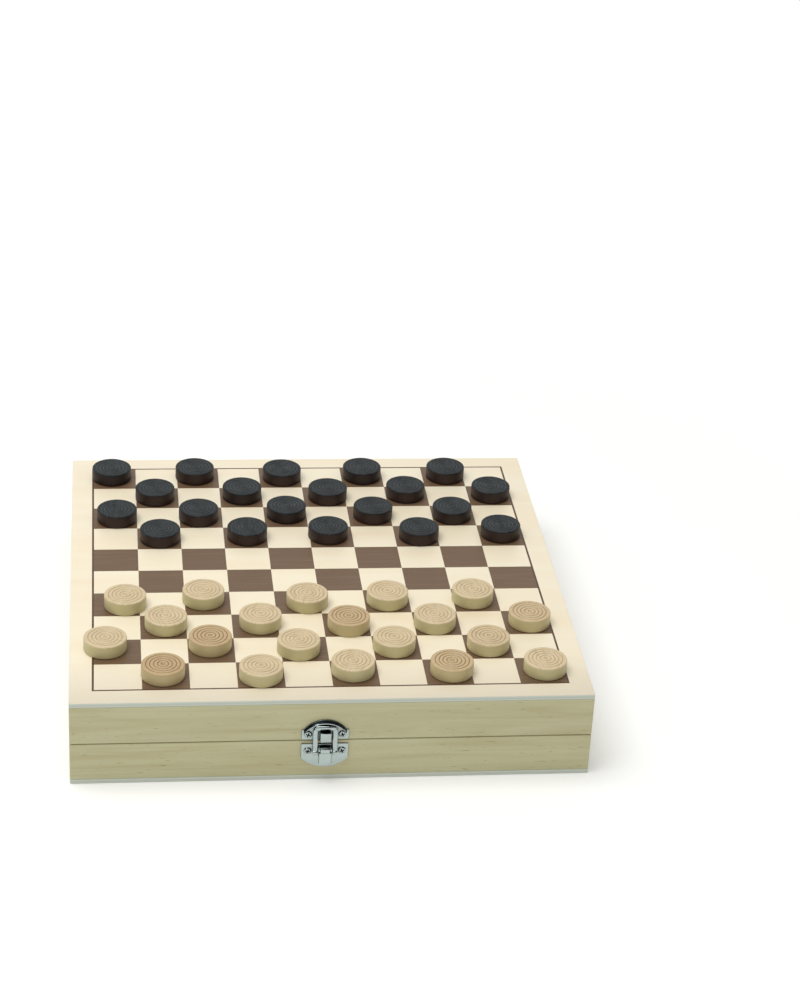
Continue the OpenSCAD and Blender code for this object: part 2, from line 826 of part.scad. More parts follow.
module pawn() {
    r = pawn_d / 2;
    h = pawn_h;
    turned(concat(
        foot(r, rim_top(h), 2.4, 0.72 * r),
        waist([0.72 * r, 0.28 * h], [0.42 * r, 0.5 * h]),
        ring(0.72 * r, 0.525 * h, 0.6 * h),
        [[0.45 * r, 0.62 * h]],
        arc([0, h - pawn_head_r], pawn_head_r, -48, 90)
    ));
}

// Lays a piece on its side so that its rim and its head both touch the floor.
// rim and head are the two touching points, as [radius, height up the piece].
module laid(rim, head) {
    lean = atan((rim[0] - head[0]) / (head[1] - rim[1]));
    translate([0, 0, rim[0] * cos(lean) + rim[1] * sin(lean)])
        rotate([-90 - lean, 0, 0]) children();
}

// Puts a laid piece in its file; side is 1 for the light men at the back and -1 for the dark
module in_file(file, side, foot_y) {
    translate([(file - 4.5) * men_pitch, side * foot_y, rest_z])
        rotate(side > 0 ? 180 : 0) children();
}

module chess_king(side) {
    in_file(5, side, rank_foot_y)
        laid([king_d / 2, rim_top(king_h) - rim_ease], king_crown) king();
}

module chess_queen(side) {
    in_file(4, side, rank_foot_y)
        laid([queen_d / 2, rim_top(queen_h) - rim_ease], queen_crown) queen();
}

module chess_bishops(side) {
    for (file = [3, 6]) in_file(file, side, rank_foot_y)
        laid([bishop_d / 2, rim_top(bishop_h) - rim_ease], bishop_collar) bishop();
}

module chess_knights(side) {
    for (file = [2, 7]) in_file(file, side, rank_foot_y)
        laid([knight_d / 2, rim_top(knight_h) + knight_rim_more - rim_ease],
            [knight_t / 2, knight_h])
            scale([file == 2 ? 1 : -1, 1, 1]) knight();
}

module chess_rooks(side) {
    for (file = [1, 8]) in_file(file, side, rank_foot_y)
        laid([rook_d / 2, rim_top(rook_h) + rook_rim_more - rim_ease], rook_rim) rook();
}

module chess_pawns(side) {
    for (file = [1 : 8]) in_file(file, side, pawn_foot_y)
        laid([pawn_d / 2, rim_top(pawn_h) - rim_ease], [pawn_head_r, pawn_h - pawn_head_r])
            pawn();
}

// ---------- The parts ----------

lid_front_rail();
lid_back_rail();
lid_left_rail();
lid_right_rail();
draughts_board_panel();
draughts_board_print();
base_front_rail();
base_back_rail();
base_left_rail();
base_right_rail();
chess_board_panel();
chess_board_print();
lid_leaf(hinge_xs[0]);  // left_hinge_lid_leaf
base_leaf(hinge_xs[0]);  // left_hinge_base_leaf
hinge_pin(hinge_xs[0]);  // left_hinge_pin
lid_leaf(hinge_xs[1]);  // right_hinge_lid_leaf
base_leaf(hinge_xs[1]);  // right_hinge_base_leaf
hinge_pin(hinge_xs[1]);  // right_hinge_pin
hinge_screws(1);  // lid_hinge_screws
hinge_screws(-1);  // base_hinge_screws
catch_plate();
plate_screws(latch_screw_up);  // catch_screws
latch_plate();
plate_screws(latch_screw_down);  // latch_screws
latch_lever();
lever_pin();
latch_bail();
bail_pin();
light_draughts_row(1);  // light_draughts_row_1
light_draughts_row(2);  // light_draughts_row_2
light_draughts_row(3);  // light_draughts_row_3
light_draughts_row(4);  // light_draughts_row_4
dark_draughts_row(1);  // dark_draughts_row_1
dark_draughts_row(2);  // dark_draughts_row_2
dark_draughts_row(3);  // dark_draughts_row_3
dark_draughts_row(4);  // dark_draughts_row_4
color(box_wood) chess_king(1);  // light_king
color(box_wood) chess_queen(1);  // light_queen
color(box_wood) chess_bishops(1);  // light_bishops
color(box_wood) chess_knights(1);  // light_knights
color(box_wood) chess_rooks(1);  // light_rooks
color(box_wood) chess_pawns(1);  // light_pawns
color(dark_wood) chess_king(-1);  // dark_king
color(dark_wood) chess_queen(-1);  // dark_queen
color(dark_wood) chess_bishops(-1);  // dark_bishops
color(dark_wood) chess_knights(-1);  // dark_knights
color(dark_wood) chess_rooks(-1);  // dark_rooks
color(dark_wood) chess_pawns(-1);  // dark_pawns
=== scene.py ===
"""Looks of a games compendium box: pine case, printed boards, latch, draughts, chess men."""

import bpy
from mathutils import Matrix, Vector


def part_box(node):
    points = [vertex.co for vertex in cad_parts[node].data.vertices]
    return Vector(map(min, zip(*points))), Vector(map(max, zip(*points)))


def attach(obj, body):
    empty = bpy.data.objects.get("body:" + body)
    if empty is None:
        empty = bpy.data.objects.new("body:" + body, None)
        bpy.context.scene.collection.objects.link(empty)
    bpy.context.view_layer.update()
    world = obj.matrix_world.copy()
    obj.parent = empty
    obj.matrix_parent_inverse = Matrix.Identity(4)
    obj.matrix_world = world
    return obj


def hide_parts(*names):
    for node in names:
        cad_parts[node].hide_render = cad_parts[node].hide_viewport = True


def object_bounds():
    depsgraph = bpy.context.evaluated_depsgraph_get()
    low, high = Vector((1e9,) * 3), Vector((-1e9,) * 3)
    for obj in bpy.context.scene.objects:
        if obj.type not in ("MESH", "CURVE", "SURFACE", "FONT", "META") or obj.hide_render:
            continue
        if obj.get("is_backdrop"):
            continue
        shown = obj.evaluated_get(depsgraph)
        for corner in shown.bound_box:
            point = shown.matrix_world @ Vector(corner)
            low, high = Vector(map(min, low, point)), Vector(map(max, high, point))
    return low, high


bl_info = {
    "name": "Games compendium box",
    "version": (1, 0, 0),
    "blender": (4, 5, 0),
    "location": "View3D > Sidebar > Games Box",
    "description": "Builds the finishes and turned pieces of a hinged games case",
    "category": "Object",
}

import math

import bmesh
import bpy
from bpy.props import FloatProperty, FloatVectorProperty, IntProperty, PointerProperty
from mathutils import Matrix, Vector

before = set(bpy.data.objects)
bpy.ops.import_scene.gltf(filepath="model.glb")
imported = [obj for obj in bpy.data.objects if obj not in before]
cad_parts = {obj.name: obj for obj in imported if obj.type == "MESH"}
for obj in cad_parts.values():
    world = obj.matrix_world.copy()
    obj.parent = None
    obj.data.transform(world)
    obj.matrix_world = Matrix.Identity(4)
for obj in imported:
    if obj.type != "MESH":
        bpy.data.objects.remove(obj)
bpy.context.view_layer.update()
MM = 0.001
IMAGE_HEIGHT = 1000      # the picture is 800 x 1000 pixels

# ---------- Sizes and colours that a user would change ----------


def linear(code):
    """An sRGB hex colour such as "D9D0A8" as linear red, green and blue."""
    parts = [int(code[i:i + 2], 16) / 255 for i in (0, 2, 4)]
    return [c / 12.92 if c <= 0.04045 else ((c + 0.055) / 1.055) ** 2.4 for c in parts]


def length(name, description, millimetres):
    return FloatProperty(name=name, description=description, default=millimetres * MM,
                         min=0, unit="LENGTH")


def angle(name, description, degrees):
    return FloatProperty(name=name, description=description, default=math.radians(degrees),
                         subtype="ANGLE")


def colour(name, description, code):
    return FloatVectorProperty(name=name, description=description, default=linear(code),
                               size=3, min=0, max=1, subtype="COLOR")


class CaseLook(bpy.types.PropertyGroup):
    corner: length("Corner radius", "Rounding of the upright corners", 0.8)
    arris: length("Arris", "Rounding of the panels' outer rims", 0.45)
    seam_arris: length("Seam arris", "Rounding of the edges along the seam", 0.7)
    glue_arris: length("Glue arris", "Rounding where a panel is glued on", 0.12)
    ink_film: length("Ink film", "How far the ink stands proud of a board", 0.02)
    line: length("Border line", "Width of the line round the squares", 1.2)
    draughts_margin: length("Draughts margin", "Margin round the draughts squares", 14)
    chess_margin: length("Chess margin", "Margin round the chess squares", 17)
    letter: length("Letter height", "Height of the letters in the margin", 5.2)


class DraughtLook(bpy.types.PropertyGroup):
    rim: length("Rim", "Width of the flat rim round the face", 2.2)
    edge: length("Edge", "Rounding of the edges", 0.7)
    rings: IntProperty(name="Rings", description="Rings turned into a face", default=5, min=2)
    ring_depth: length("Ring depth", "Depth of a ring", 0.35)
    groove: length("Groove", "Half the width of a ring", 0.42)


class LatchLook(bpy.types.PropertyGroup):
    sheet: length("Sheet", "Thickness of the plates and the bail", 1)
    edge: length("Edge", "Rounding of the pressed edges", 0.38)
    width: length("Width", "Width of the two plates", 27)
    arch: length("Arch", "Radius of the catch plate's arched top", 14.58)
    catch_top: length("Arch height", "Top of the arch above the seam", 14)
    shoulder: length("Shoulder", "Top of the flanks above the seam", 7.3)
    catch_foot: length("Catch foot", "Catch plate's foot above the seam", 1)
    bead: length("Bead", "Width of the bead along the arch", 2.6)
    bead_rise: length("Bead rise", "Height of the bead on the plate", 1.1)
    latch_head: length("Latch head", "Latch plate's top below the seam", 1.9)
    latch_bottom: length("Latch bottom", "Latch plate's bottom below the seam", 17.6)
    bottom_arch: length("Bottom arch", "Radius of the latch plate's bottom", 18.09)
    screw_span: length("Screw span", "Distance between a plate's two screws", 19.6)
    screw_up: length("Upper screws", "Catch screws above the seam", 4.8)
    screw_down: length("Lower screws", "Latch screws below the seam", 6.2)
    dome: length("Screw head", "Radius of a domed screw head", 2.2)
    dome_rise: length("Screw rise", "Height of a domed screw head", 1.2)
    hook: length("Hook", "Width of the hook", 6.2)
    lip: length("Lip", "Hook's lip out from the case", 4.95)
    bar: length("Crossbar", "Crossbar above the seam", 9.25)
    bar_height: length("Crossbar height", "Height of the crossbar itself", 3.1)
    bar_out: length("Crossbar out", "Crossbar out from the case", 1.85)
    bail: length("Bail", "Outer width of the bail", 14)
    leg: length("Leg", "Width of a bail leg", 2.8)
    crown: length("Crown", "Radius of the bail's upper corners", 4.5)
    eye: length("Eye", "Radius of the bail's eyes", 1.2)
    pivot_out: length("Pivot out", "Lever's pin out from the case", 3.4)
    pivot_down: length("Pivot down", "Lever's pin below the seam", 4.4)
    lever: length("Lever", "Width of the lever's thumb tab", 7.4)
    boss: length("Boss", "Radius of the lever's boss", 1.25)
    ear: length("Ear", "Radius of the ears that carry the pin", 1.3)


class HingeLook(bpy.types.PropertyGroup):
    leaf: length("Leaf", "Thickness of a leaf", 0.9)
    reach: length("Reach", "From the pin to a leaf's far edge", 11)
    step: length("Step", "From the pin to where a leaf starts", 2.2)
    knuckle: length("Knuckle", "Radius of the knuckles", 1.9)
    gap: length("Gap", "Gap between two knuckles", 0.25)
    sunk: length("Sunk head", "Radius of a countersunk screw head", 1.9)


class ChessLook(bpy.types.PropertyGroup):
    king_h: length("King", "Height of the king", 64)
    king_d: length("King's foot", "Diameter of the king's foot", 21)
    queen_h: length("Queen", "Height of the queen", 58.5)
    queen_d: length("Queen's foot", "Diameter of the queen's foot", 20.8)
    bishop_h: length("Bishop", "Height of a bishop", 51.5)
    bishop_d: length("Bishop's foot", "Diameter of a bishop's foot", 18.8)
    knight_h: length("Knight", "Height of a knight", 39.5)
    knight_d: length("Knight's foot", "Diameter of a knight's foot", 17.8)
    knight_t: length("Knight's head", "Thickness of a knight's head", 8.4)
    rook_h: length("Rook", "Height of a rook", 37.5)
    rook_d: length("Rook's foot", "Diameter of a rook's foot", 18.6)
    pawn_h: length("Pawn", "Height of a pawn", 30.5)
    pawn_d: length("Pawn's foot", "Diameter of a pawn's foot", 17)
    wall_gap: length("Wall gap", "Between the wall and the back rank's feet", 3)
    row_gap: length("Row gap", "Between the back rank and the pawns' feet", 5)
    rest_gap: length("Rest gap", "Gap under a man in the tray", 0.1)


class Finishes(bpy.types.PropertyGroup):
    pine: colour("Pine", "Lacquered pine between the growth lines", "CAC69E")
    pine_line: colour("Pine growth line", "Late wood of the pine", "BAB083")
    pine_fleck: colour("Pine fleck", "Resin flecks in the pine", "83703F")
    veneer: colour("Veneer", "Face of the plywood boards", "F5EACF")
    veneer_shade: colour("Veneer grain", "Warmer patches in the veneer", "F1E1C1")
    # Painted shade: the veneer's colour at its front end
    veneer_front_shade: colour("Veneer's darker end", "Veneer towards the front", "DDD2BA")
    ply_edge: colour("Plywood edge", "Sawn edge of the plywood", "D2D8CC")
    ply_glue: colour("Glue line", "Glue between a panel and its rails", "8F9A7E")
    ink: colour("Printed brown", "Ink of the squares", "6A5138")
    ink_line: colour("Printed line", "Heavier ink of lines and letters", "50331C")
    nickel: colour("Nickel", "Plated latch and hinges", "B4C0BE")
    # Painted shade: the colour that darkens the plating in gaps between parts, in screw slots
    # and along the thumb tab's sides
    painted_shade: colour("Shading", "Grime in slots and gaps", "101416")
    light_draught: colour("Light draught", "Clear lacquered beech", "D6C29B")
    light_side: colour("Light draught's side", "Edge along the grain", "C8BE90")
    light_ring: colour("Light draught's rings", "Scorched bottom of the rings", "82613B")
    brown_draught: colour("Brown draught", "Darker beech of a few draughts", "BFA478")
    dark_draught: colour("Dark draught", "Black stain on a face", "101416")
    # Painted highlight: this lighter colour in the rings of the dark draughts stands for sheen
    # on the groove walls
    dark_ring_highlight: colour("Dark draught's rings", "Worn stain in the rings", "566164")
    dark_side: colour("Dark draught's side", "Brown under the stain", "33231E")
    light_man: colour("Light chess men", "Varnished box wood", "DCCB92")
    dark_man: colour("Dark chess men", "Dark stain under varnish", "2A1712")
    dark_man_worn: colour("Worn stain", "Red brown where the stain is thin", "5C2E1C")
    floor: colour("Floor", "Plain floor", "F4F4F2")
    cloth: colour("Cloth", "Dark studio cloth", "1E232C")


class StageLook(bpy.types.PropertyGroup):
    eye: FloatVectorProperty(name="Camera", description="Where the camera stands", size=3,
                             default=(-0.12747, -1.31646, 0.80125), subtype="TRANSLATION")
    focal_pixels: FloatProperty(name="Focal length", description="Focal length in image pixels",
                                default=2463.4)
    heading: angle("Heading", "Turn to the right of straight ahead", 7.702)
    dip: angle("Dip", "Tilt below the horizon", 27.789)
    roll: angle("Roll", "Tilt of the picture", 3.157)
    sky: FloatProperty(name="Sky", description="Strength of the light from all round",
                       default=0.5)
    lamp: FloatProperty(name="Lamp", description="Power of the soft overhead lamp in watts",
                        default=24)


class GamesBox(bpy.types.PropertyGroup):
    case: PointerProperty(type=CaseLook)
    draughts: PointerProperty(type=DraughtLook)
    latch: PointerProperty(type=LatchLook)
    hinges: PointerProperty(type=HingeLook)
    chess: PointerProperty(type=ChessLook)
    finishes: PointerProperty(type=Finishes)
    stage: PointerProperty(type=StageLook)


# ---------- Meshes ----------

# Places for a plate: stood up so that its y points upwards, or cut from a side view, so that
# its x points out of the case and its height lies across
UPRIGHT = Matrix(((1, 0, 0, 0), (0, 0, -1, 0), (0, 1, 0, 0), (0, 0, 0, 1)))
ACROSS = Matrix(((0, 0, 1, 0), (0, 1, 0, 0), (1, 0, 0, 0), (0, 0, 0, 1)))


def near(a, b):
    return abs(a - b) < 1e-6


def add_box(bm, low, high):
    low, high = Vector(low), Vector(high)
    place = Matrix.Translation((low + high) / 2) @ Matrix.Diagonal((*(high - low), 1))
    return bmesh.ops.create_cube(bm, size=1, matrix=place)["verts"]


def round_edges(bm, edges, width, segments=3):
    bmesh.ops.bevel(bm, geom=edges, offset=width, offset_type="OFFSET", affect="EDGES",
                    segments=segments, profile=0.5, material=-1, clamp_overlap=True)


def round_where(bm, width, segments, chosen):
    """Rounds the edges for which chosen(one end, other end) is true."""
    edges = [e for e in bm.edges if chosen(e.verts[0].co, e.verts[1].co)]
    round_edges(bm, edges, width, segments)


def finish_piece(name, bm, body, material, node, sharp=40):
    """Makes an object of a bmesh, with its finish and its body, and hides the node it stands
    for.
    """
    bmesh.ops.recalc_face_normals(bm, faces=bm.faces)
    mesh = bpy.data.meshes.new(name)
    bm.to_mesh(mesh)
    bm.free()
    mesh.shade_smooth()
    mesh.set_sharp_from_angle(angle=math.radians(sharp))
    mesh.materials.append(material)
    piece = bpy.data.objects.new(name, mesh)
    bpy.context.scene.collection.objects.link(piece)
    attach(piece, body)
    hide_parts(node)


def arc(centre, radius, start, stop, steps=8):
    """Points along a circular arc, with its angles in degrees."""
    turns = [math.radians(start + (stop - start) * i / steps) for i in range(steps + 1)]
    return [(centre[0] + radius * math.cos(t), centre[1] + radius * math.sin(t)) for t in turns]


def mirrored(points):
    """The right half of an outline, from its foot to its top, with its mirror image."""
    return points + [(-x, y) for x, y in reversed(points) if x > 1e-7]


def to_loose_mesh(bm):
    """A mesh that is copied into pieces and isn't shown itself."""
    bmesh.ops.recalc_face_normals(bm, faces=bm.faces)
    mesh = bpy.data.meshes.new("blank")
    bm.to_mesh(mesh)
    bm.free()
    return mesh


def add_turned(bm, outline, steps):
    """Spins an outline of (radius, height) pairs into a closed solid."""
    verts = [bm.verts.new((r, 0, z)) for r, z in outline]
    edges = [bm.edges.new(pair) for pair in zip(verts, verts[1:])]
    bmesh.ops.spin(bm, geom=verts + edges, cent=(0, 0, 0), axis=(0, 0, 1), dvec=(0, 0, 0),
                   angle=2 * math.pi, steps=steps, use_merge=True)
    bmesh.ops.remove_doubles(bm, verts=bm.verts, dist=1e-6)


def turned_mesh(outline, steps=64):
    bm = bmesh.new()
    add_turned(bm, outline, steps)
    return to_loose_mesh(bm)


def add_plate(bm, outline, low, high, edge=0, place=Matrix.Identity(4), both=False,
              crest=None):
    """Raises an outline of (x, y) points from one height to another and rounds its upper rim,
    or both rims. A crest gives each raised point's new place."""
    verts = [bm.verts.new(place @ Vector((x, y, low))) for x, y in outline]
    made = bmesh.ops.extrude_face_region(bm, geom=[bm.faces.new(verts)])["geom"]
    raised = {g for g in made if isinstance(g, bmesh.types.BMVert)}
    bmesh.ops.translate(bm, verts=list(raised),
                        vec=place.to_3x3() @ Vector((0, 0, high - low)))
    if crest:
        for vert in raised:
            vert.co = crest(vert.co)
    if edge:
        rims = (raised, set(verts)) if both else (raised,)
        round_edges(bm, [e for e in bm.edges for rim in rims
                         if e.verts[0] in rim and e.verts[1] in rim], edge)


def pin_mesh(radius, span, edge, bore=0):
    """A pin or a tube along X with rounded ends."""
    half = span / 2
    outline = [(bore, -half)] + arc((radius - edge, edge - half), edge, -90, 0, 3)
    outline += arc((radius - edge, half - edge), edge, 0, 90, 3) + [(bore, half)]
    if bore:
        outline.append(outline[0])
    bm = bmesh.new()
    add_turned(bm, outline, 32)
    bmesh.ops.rotate(bm, verts=bm.verts, cent=(0, 0, 0),
                     matrix=Matrix.Rotation(math.pi / 2, 3, "Y"))
    return to_loose_mesh(bm)


def cut_away(mesh, cutter):
    """Cuts one loose mesh out of another."""
    blank = bpy.data.objects.new("blank", mesh)
    tool = bpy.data.objects.new("tool", cutter)
    for holder in (blank, tool):
        bpy.context.scene.collection.objects.link(holder)
    cut = blank.modifiers.new("cut", "BOOLEAN")
    cut.operation = "DIFFERENCE"
    cut.solver = "EXACT"
    cut.object = tool
    ready = blank.evaluated_get(bpy.context.evaluated_depsgraph_get())
    result = bpy.data.meshes.new_from_object(ready)
    for holder in (blank, tool):
        bpy.data.objects.remove(holder)
    return result


def add_mesh(bm, mesh):
    """Copies a mesh into a bmesh and returns its points there."""
    before = set(bm.verts)
    bm.from_mesh(mesh)
    return [vert for vert in bm.verts if vert not in before]


def add_copy(bm, mesh, place, tone=0):
    """Copies a mesh into a bmesh. Each point keeps its place on the blank, for the grain."""
    layers = bm.verts.layers
    blank_at = layers.float_vector.get("blank_at") or layers.float_vector.new("blank_at")
    tones = layers.float.get("tone") or layers.float.new("tone")
    added = add_mesh(bm, mesh)
    for vert in added:
        vert[blank_at] = vert.co
        vert[tones] = tone
    bmesh.ops.transform(bm, matrix=place, verts=added)
    return added


def tone_of(number):
    """A steady, well spread number from 0 to 1 for each piece."""
    return number * 0.6180339887 % 1


# ---------- Finishes ----------

FINE_RELIEF = 0.05 * MM  # height of wood fibre and of ripples in the plating
FRONT_SHADE_FROM = 0.7          # share of the way to the front at which painted shade begins to darken the veneer
SAWN = 0.12 * MM         # a board shows its plies this far in from its edge
SHADED_GAP = 3 * MM       # painted shade darkens the plating in gaps between metal parts narrower than this


def add(tree, kind, inputs, **settings):
    """Adds a shader node with its settings. An input is a value, a colour, an output or
    another node, which gives its first live output."""
    node = tree.nodes.new("ShaderNode" + kind)
    for name, value in settings.items():
        setattr(node, name, value)
    for name, value in inputs.items():
        socket = node.inputs[name]
        if isinstance(value, bpy.types.Node):
            value = next(output for output in value.outputs if output.enabled)
        if isinstance(value, bpy.types.NodeSocket):
            tree.links.new(value, socket)
        elif socket.type == "RGBA":
            socket.default_value = (*value, 1)
        else:
            socket.default_value = value
    return node


def new_material(name, roughness, **surface):
    """A material with only its surface shader, and its node tree."""
    material = bpy.data.materials.new(name)
    material.use_nodes = True
    tree = material.node_tree
    shader = tree.nodes["Principled BSDF"]
    shader.inputs["Roughness"].default_value = roughness
    for socket, value in surface.items():
        shader.inputs[socket.replace("_", " ")].default_value = value
    return material, tree, shader


def finishes():
    return bpy.context.scene.games_box.finishes


def drawn_out(tree, at, cells, detail, bend=0, seed=None):
    """Noise whose cells measure the given millimetres, as along a grain."""
    stretched = add(tree, "Mapping", {"Vector": at, "Scale": [1 / (mm * MM) for mm in cells]})
    values = {"Vector": stretched, "Scale": 1, "Detail": detail, "Distortion": bend}
    if seed:
        values["W"] = seed
    return add(tree, "TexNoise", values, noise_dimensions="4D" if seed else "3D")


def streaks(tree, at, cells, detail, low, high, top=1, bend=0, seed=None):
    """Drawn out noise, and how far it lies between a low and a high level, up to a top share."""
    noise = drawn_out(tree, at, cells, detail, bend, seed)
    return noise, add(tree, "MapRange", {"Value": noise, "From Min": low, "From Max": high,
                                         "To Max": top})


def dress(tree, shader, wear, height, strength):
    """Gives a shader its colour and a fine relief."""
    relief = add(tree, "Bump", {"Height": height, "Strength": strength,
                                "Distance": FINE_RELIEF})
    tree.links.new(wear.outputs[2], shader.inputs["Base Color"])
    tree.links.new(relief.outputs["Normal"], shader.inputs["Normal"])


def pine(name, along, shift):
    """Planed pine under thin satin lacquer: broad soft bands of growth along the rail and a few
    fine resin flecks, so that it looks pale and calm from a step away."""
    look = finishes()
    material, tree, shader = new_material(name, 0.42)
    board = add(tree, "Mapping", {"Vector": add(tree, "TexCoord", {}).outputs["Object"],
                                  "Rotation": (0, 0, 0 if along == "X" else math.pi / 2),
                                  "Location": shift})
    soft = streaks(tree, board, (90, 14, 8), 3, 0.42, 0.72, 0.7, 0.8)[1]
    lines = streaks(tree, board, (90, 2, 1.3), 2, 0.52, 0.78, 0.45, 0.3)[1]
    flecks = streaks(tree, board, (6, 0.6, 0.6), 1, 0.7, 0.78, 0.6)[1]
    fibres = drawn_out(tree, board, (20, 0.5, 0.5), 3)
    wood = look.pine
    for share, tint in ((soft, look.pine_line), (lines, look.pine_line),
                        (flecks, look.pine_fleck)):
        wood = add(tree, "Mix", {0: share, 6: wood, 7: tint}, data_type="RGBA")
    dress(tree, shader, wood, fibres, 0.35)
    return material


def plywood(name, node):
    """Thin plywood with a pale rotary cut veneer under lacquer, with painted shade that darkens
    it towards the front. Its sawn edge is greyer, with one darker ply in the middle and a glue
    line at the rails."""
    look = finishes()
    material, tree, shader = new_material(name, 0.4)
    low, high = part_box(node)
    place = add(tree, "TexCoord", {}).outputs["Object"]
    grain, warm = streaks(tree, place, (150, 16, 4), 4, 0.4, 0.8, bend=0.4)
    x, y, z = add(tree, "SeparateXYZ", {"Vector": place}).outputs
    # Painted shade: the veneer darkens towards the front
    front = add(tree, "MapRange", {"Value": y, "From Min": FRONT_SHADE_FROM * low.y, "From Max": low.y})
    face = add(tree, "Mix", {0: warm, 6: look.veneer, 7: look.veneer_shade}, data_type="RGBA")
    face = add(tree, "Mix", {0: front, 6: face, 7: look.veneer_front_shade}, data_type="RGBA")
    across = add(tree, "Math", {0: x}, operation="ABSOLUTE")
    ahead = add(tree, "Math", {0: y}, operation="ABSOLUTE")
    widest = add(tree, "Math", {0: across, 1: ahead}, operation="MAXIMUM")
    rim = add(tree, "Math", {0: widest, 1: high.x - SAWN}, operation="GREATER_THAN")
    ply = add(tree, "MapRange", {"Value": z, "From Min": low.z, "From Max": high.z})
    edge = look.ply_edge
    glue_side = 0 if node.startswith("draughts") else 1
    for level, half, strength in ((0.5, 0.17, 0.18), (glue_side, 0.09, 0.7)):
        band = add(tree, "Math", {0: ply, 1: level, 2: half}, operation="COMPARE")
        share = add(tree, "Math", {0: band, 1: strength}, operation="MULTIPLY")
        edge = add(tree, "Mix", {0: share, 6: edge, 7: look.ply_glue}, data_type="RGBA")
    whole = add(tree, "Mix", {0: rim, 6: face, 7: edge}, data_type="RGBA")
    dress(tree, shader, whole, grain, 0.25)
    return material


def screen_ink():
    """Brown screen printing ink on veneer: matt and even, a little thinner along the grain, and
    heavier in the thin lines and letters."""
    look = finishes()
    material, tree, shader = new_material("screen_printed_ink", 0.5)
    heavy = add(tree, "Attribute", {}, attribute_name="heavy").outputs["Fac"]
    thin = streaks(tree, add(tree, "TexCoord", {}).outputs["Object"], (35, 1.6, 1.6), 4,
                   0.5, 0.8, 0.05)[1]
    ink = add(tree, "Mix", {0: heavy, 6: look.ink, 7: look.ink_line}, data_type="RGBA")
    face = add(tree, "Mix", {0: thin, 6: ink, 7: look.veneer_shade}, data_type="RGBA")
    tree.links.new(face.outputs[2], shader.inputs["Base Color"])
    return material


def nickel_plate():
    """Bright nickel plate on pressed steel: mirror like, with a faint haze and fine handling
    scratches that break up the reflections, and painted shade in the screws' slots, along the
    thumb tab's sides and in the narrow gaps between parts."""
    look = finishes()
    material, tree, shader = new_material("nickel_plated_steel", 0.16, Metallic=1)
    place = add(tree, "TexCoord", {}).outputs["Object"]
    slots = add(tree, "Attribute", {}, attribute_name="tone").outputs["Fac"]
    haze = add(tree, "TexNoise", {"Vector": place, "Scale": 1 / (3 * MM), "Detail": 4})
    rough = add(tree, "MapRange", {"Value": haze, "From Min": 0.3, "From Max": 0.75,
                                   "To Min": 0.08, "To Max": 0.2})
    tint = add(tree, "Mix", {0: haze, 6: look.nickel, 7: [c * 0.86 for c in look.nickel]},
               data_type="RGBA")
    # Painted shade: ambient occlusion darkens the plating's colour in narrow gaps between parts,
    # and the tone marks darken the screws' slots and the thumb tab's sides
    gaps = add(tree, "AmbientOcclusion", {"Distance": SHADED_GAP}, samples=8).outputs["AO"]
    gap_shade = add(tree, "MapRange", {"Value": gaps, "From Min": 0.86, "From Max": 0.42,
                                      "To Max": 0.85})
    shade_share = add(tree, "Math", {0: slots, 1: gap_shade}, operation="MAXIMUM")
    shaded_plate = add(tree, "Mix", {0: shade_share, 6: tint, 7: look.painted_shade}, data_type="RGBA")
    ripple = add(tree, "TexNoise", {"Vector": place, "Scale": 1 / (1.2 * MM), "Detail": 2})
    tree.links.new(rough.outputs["Result"], shader.inputs["Roughness"])
    dress(tree, shader, shaded_plate, ripple, 0.15)
    return material


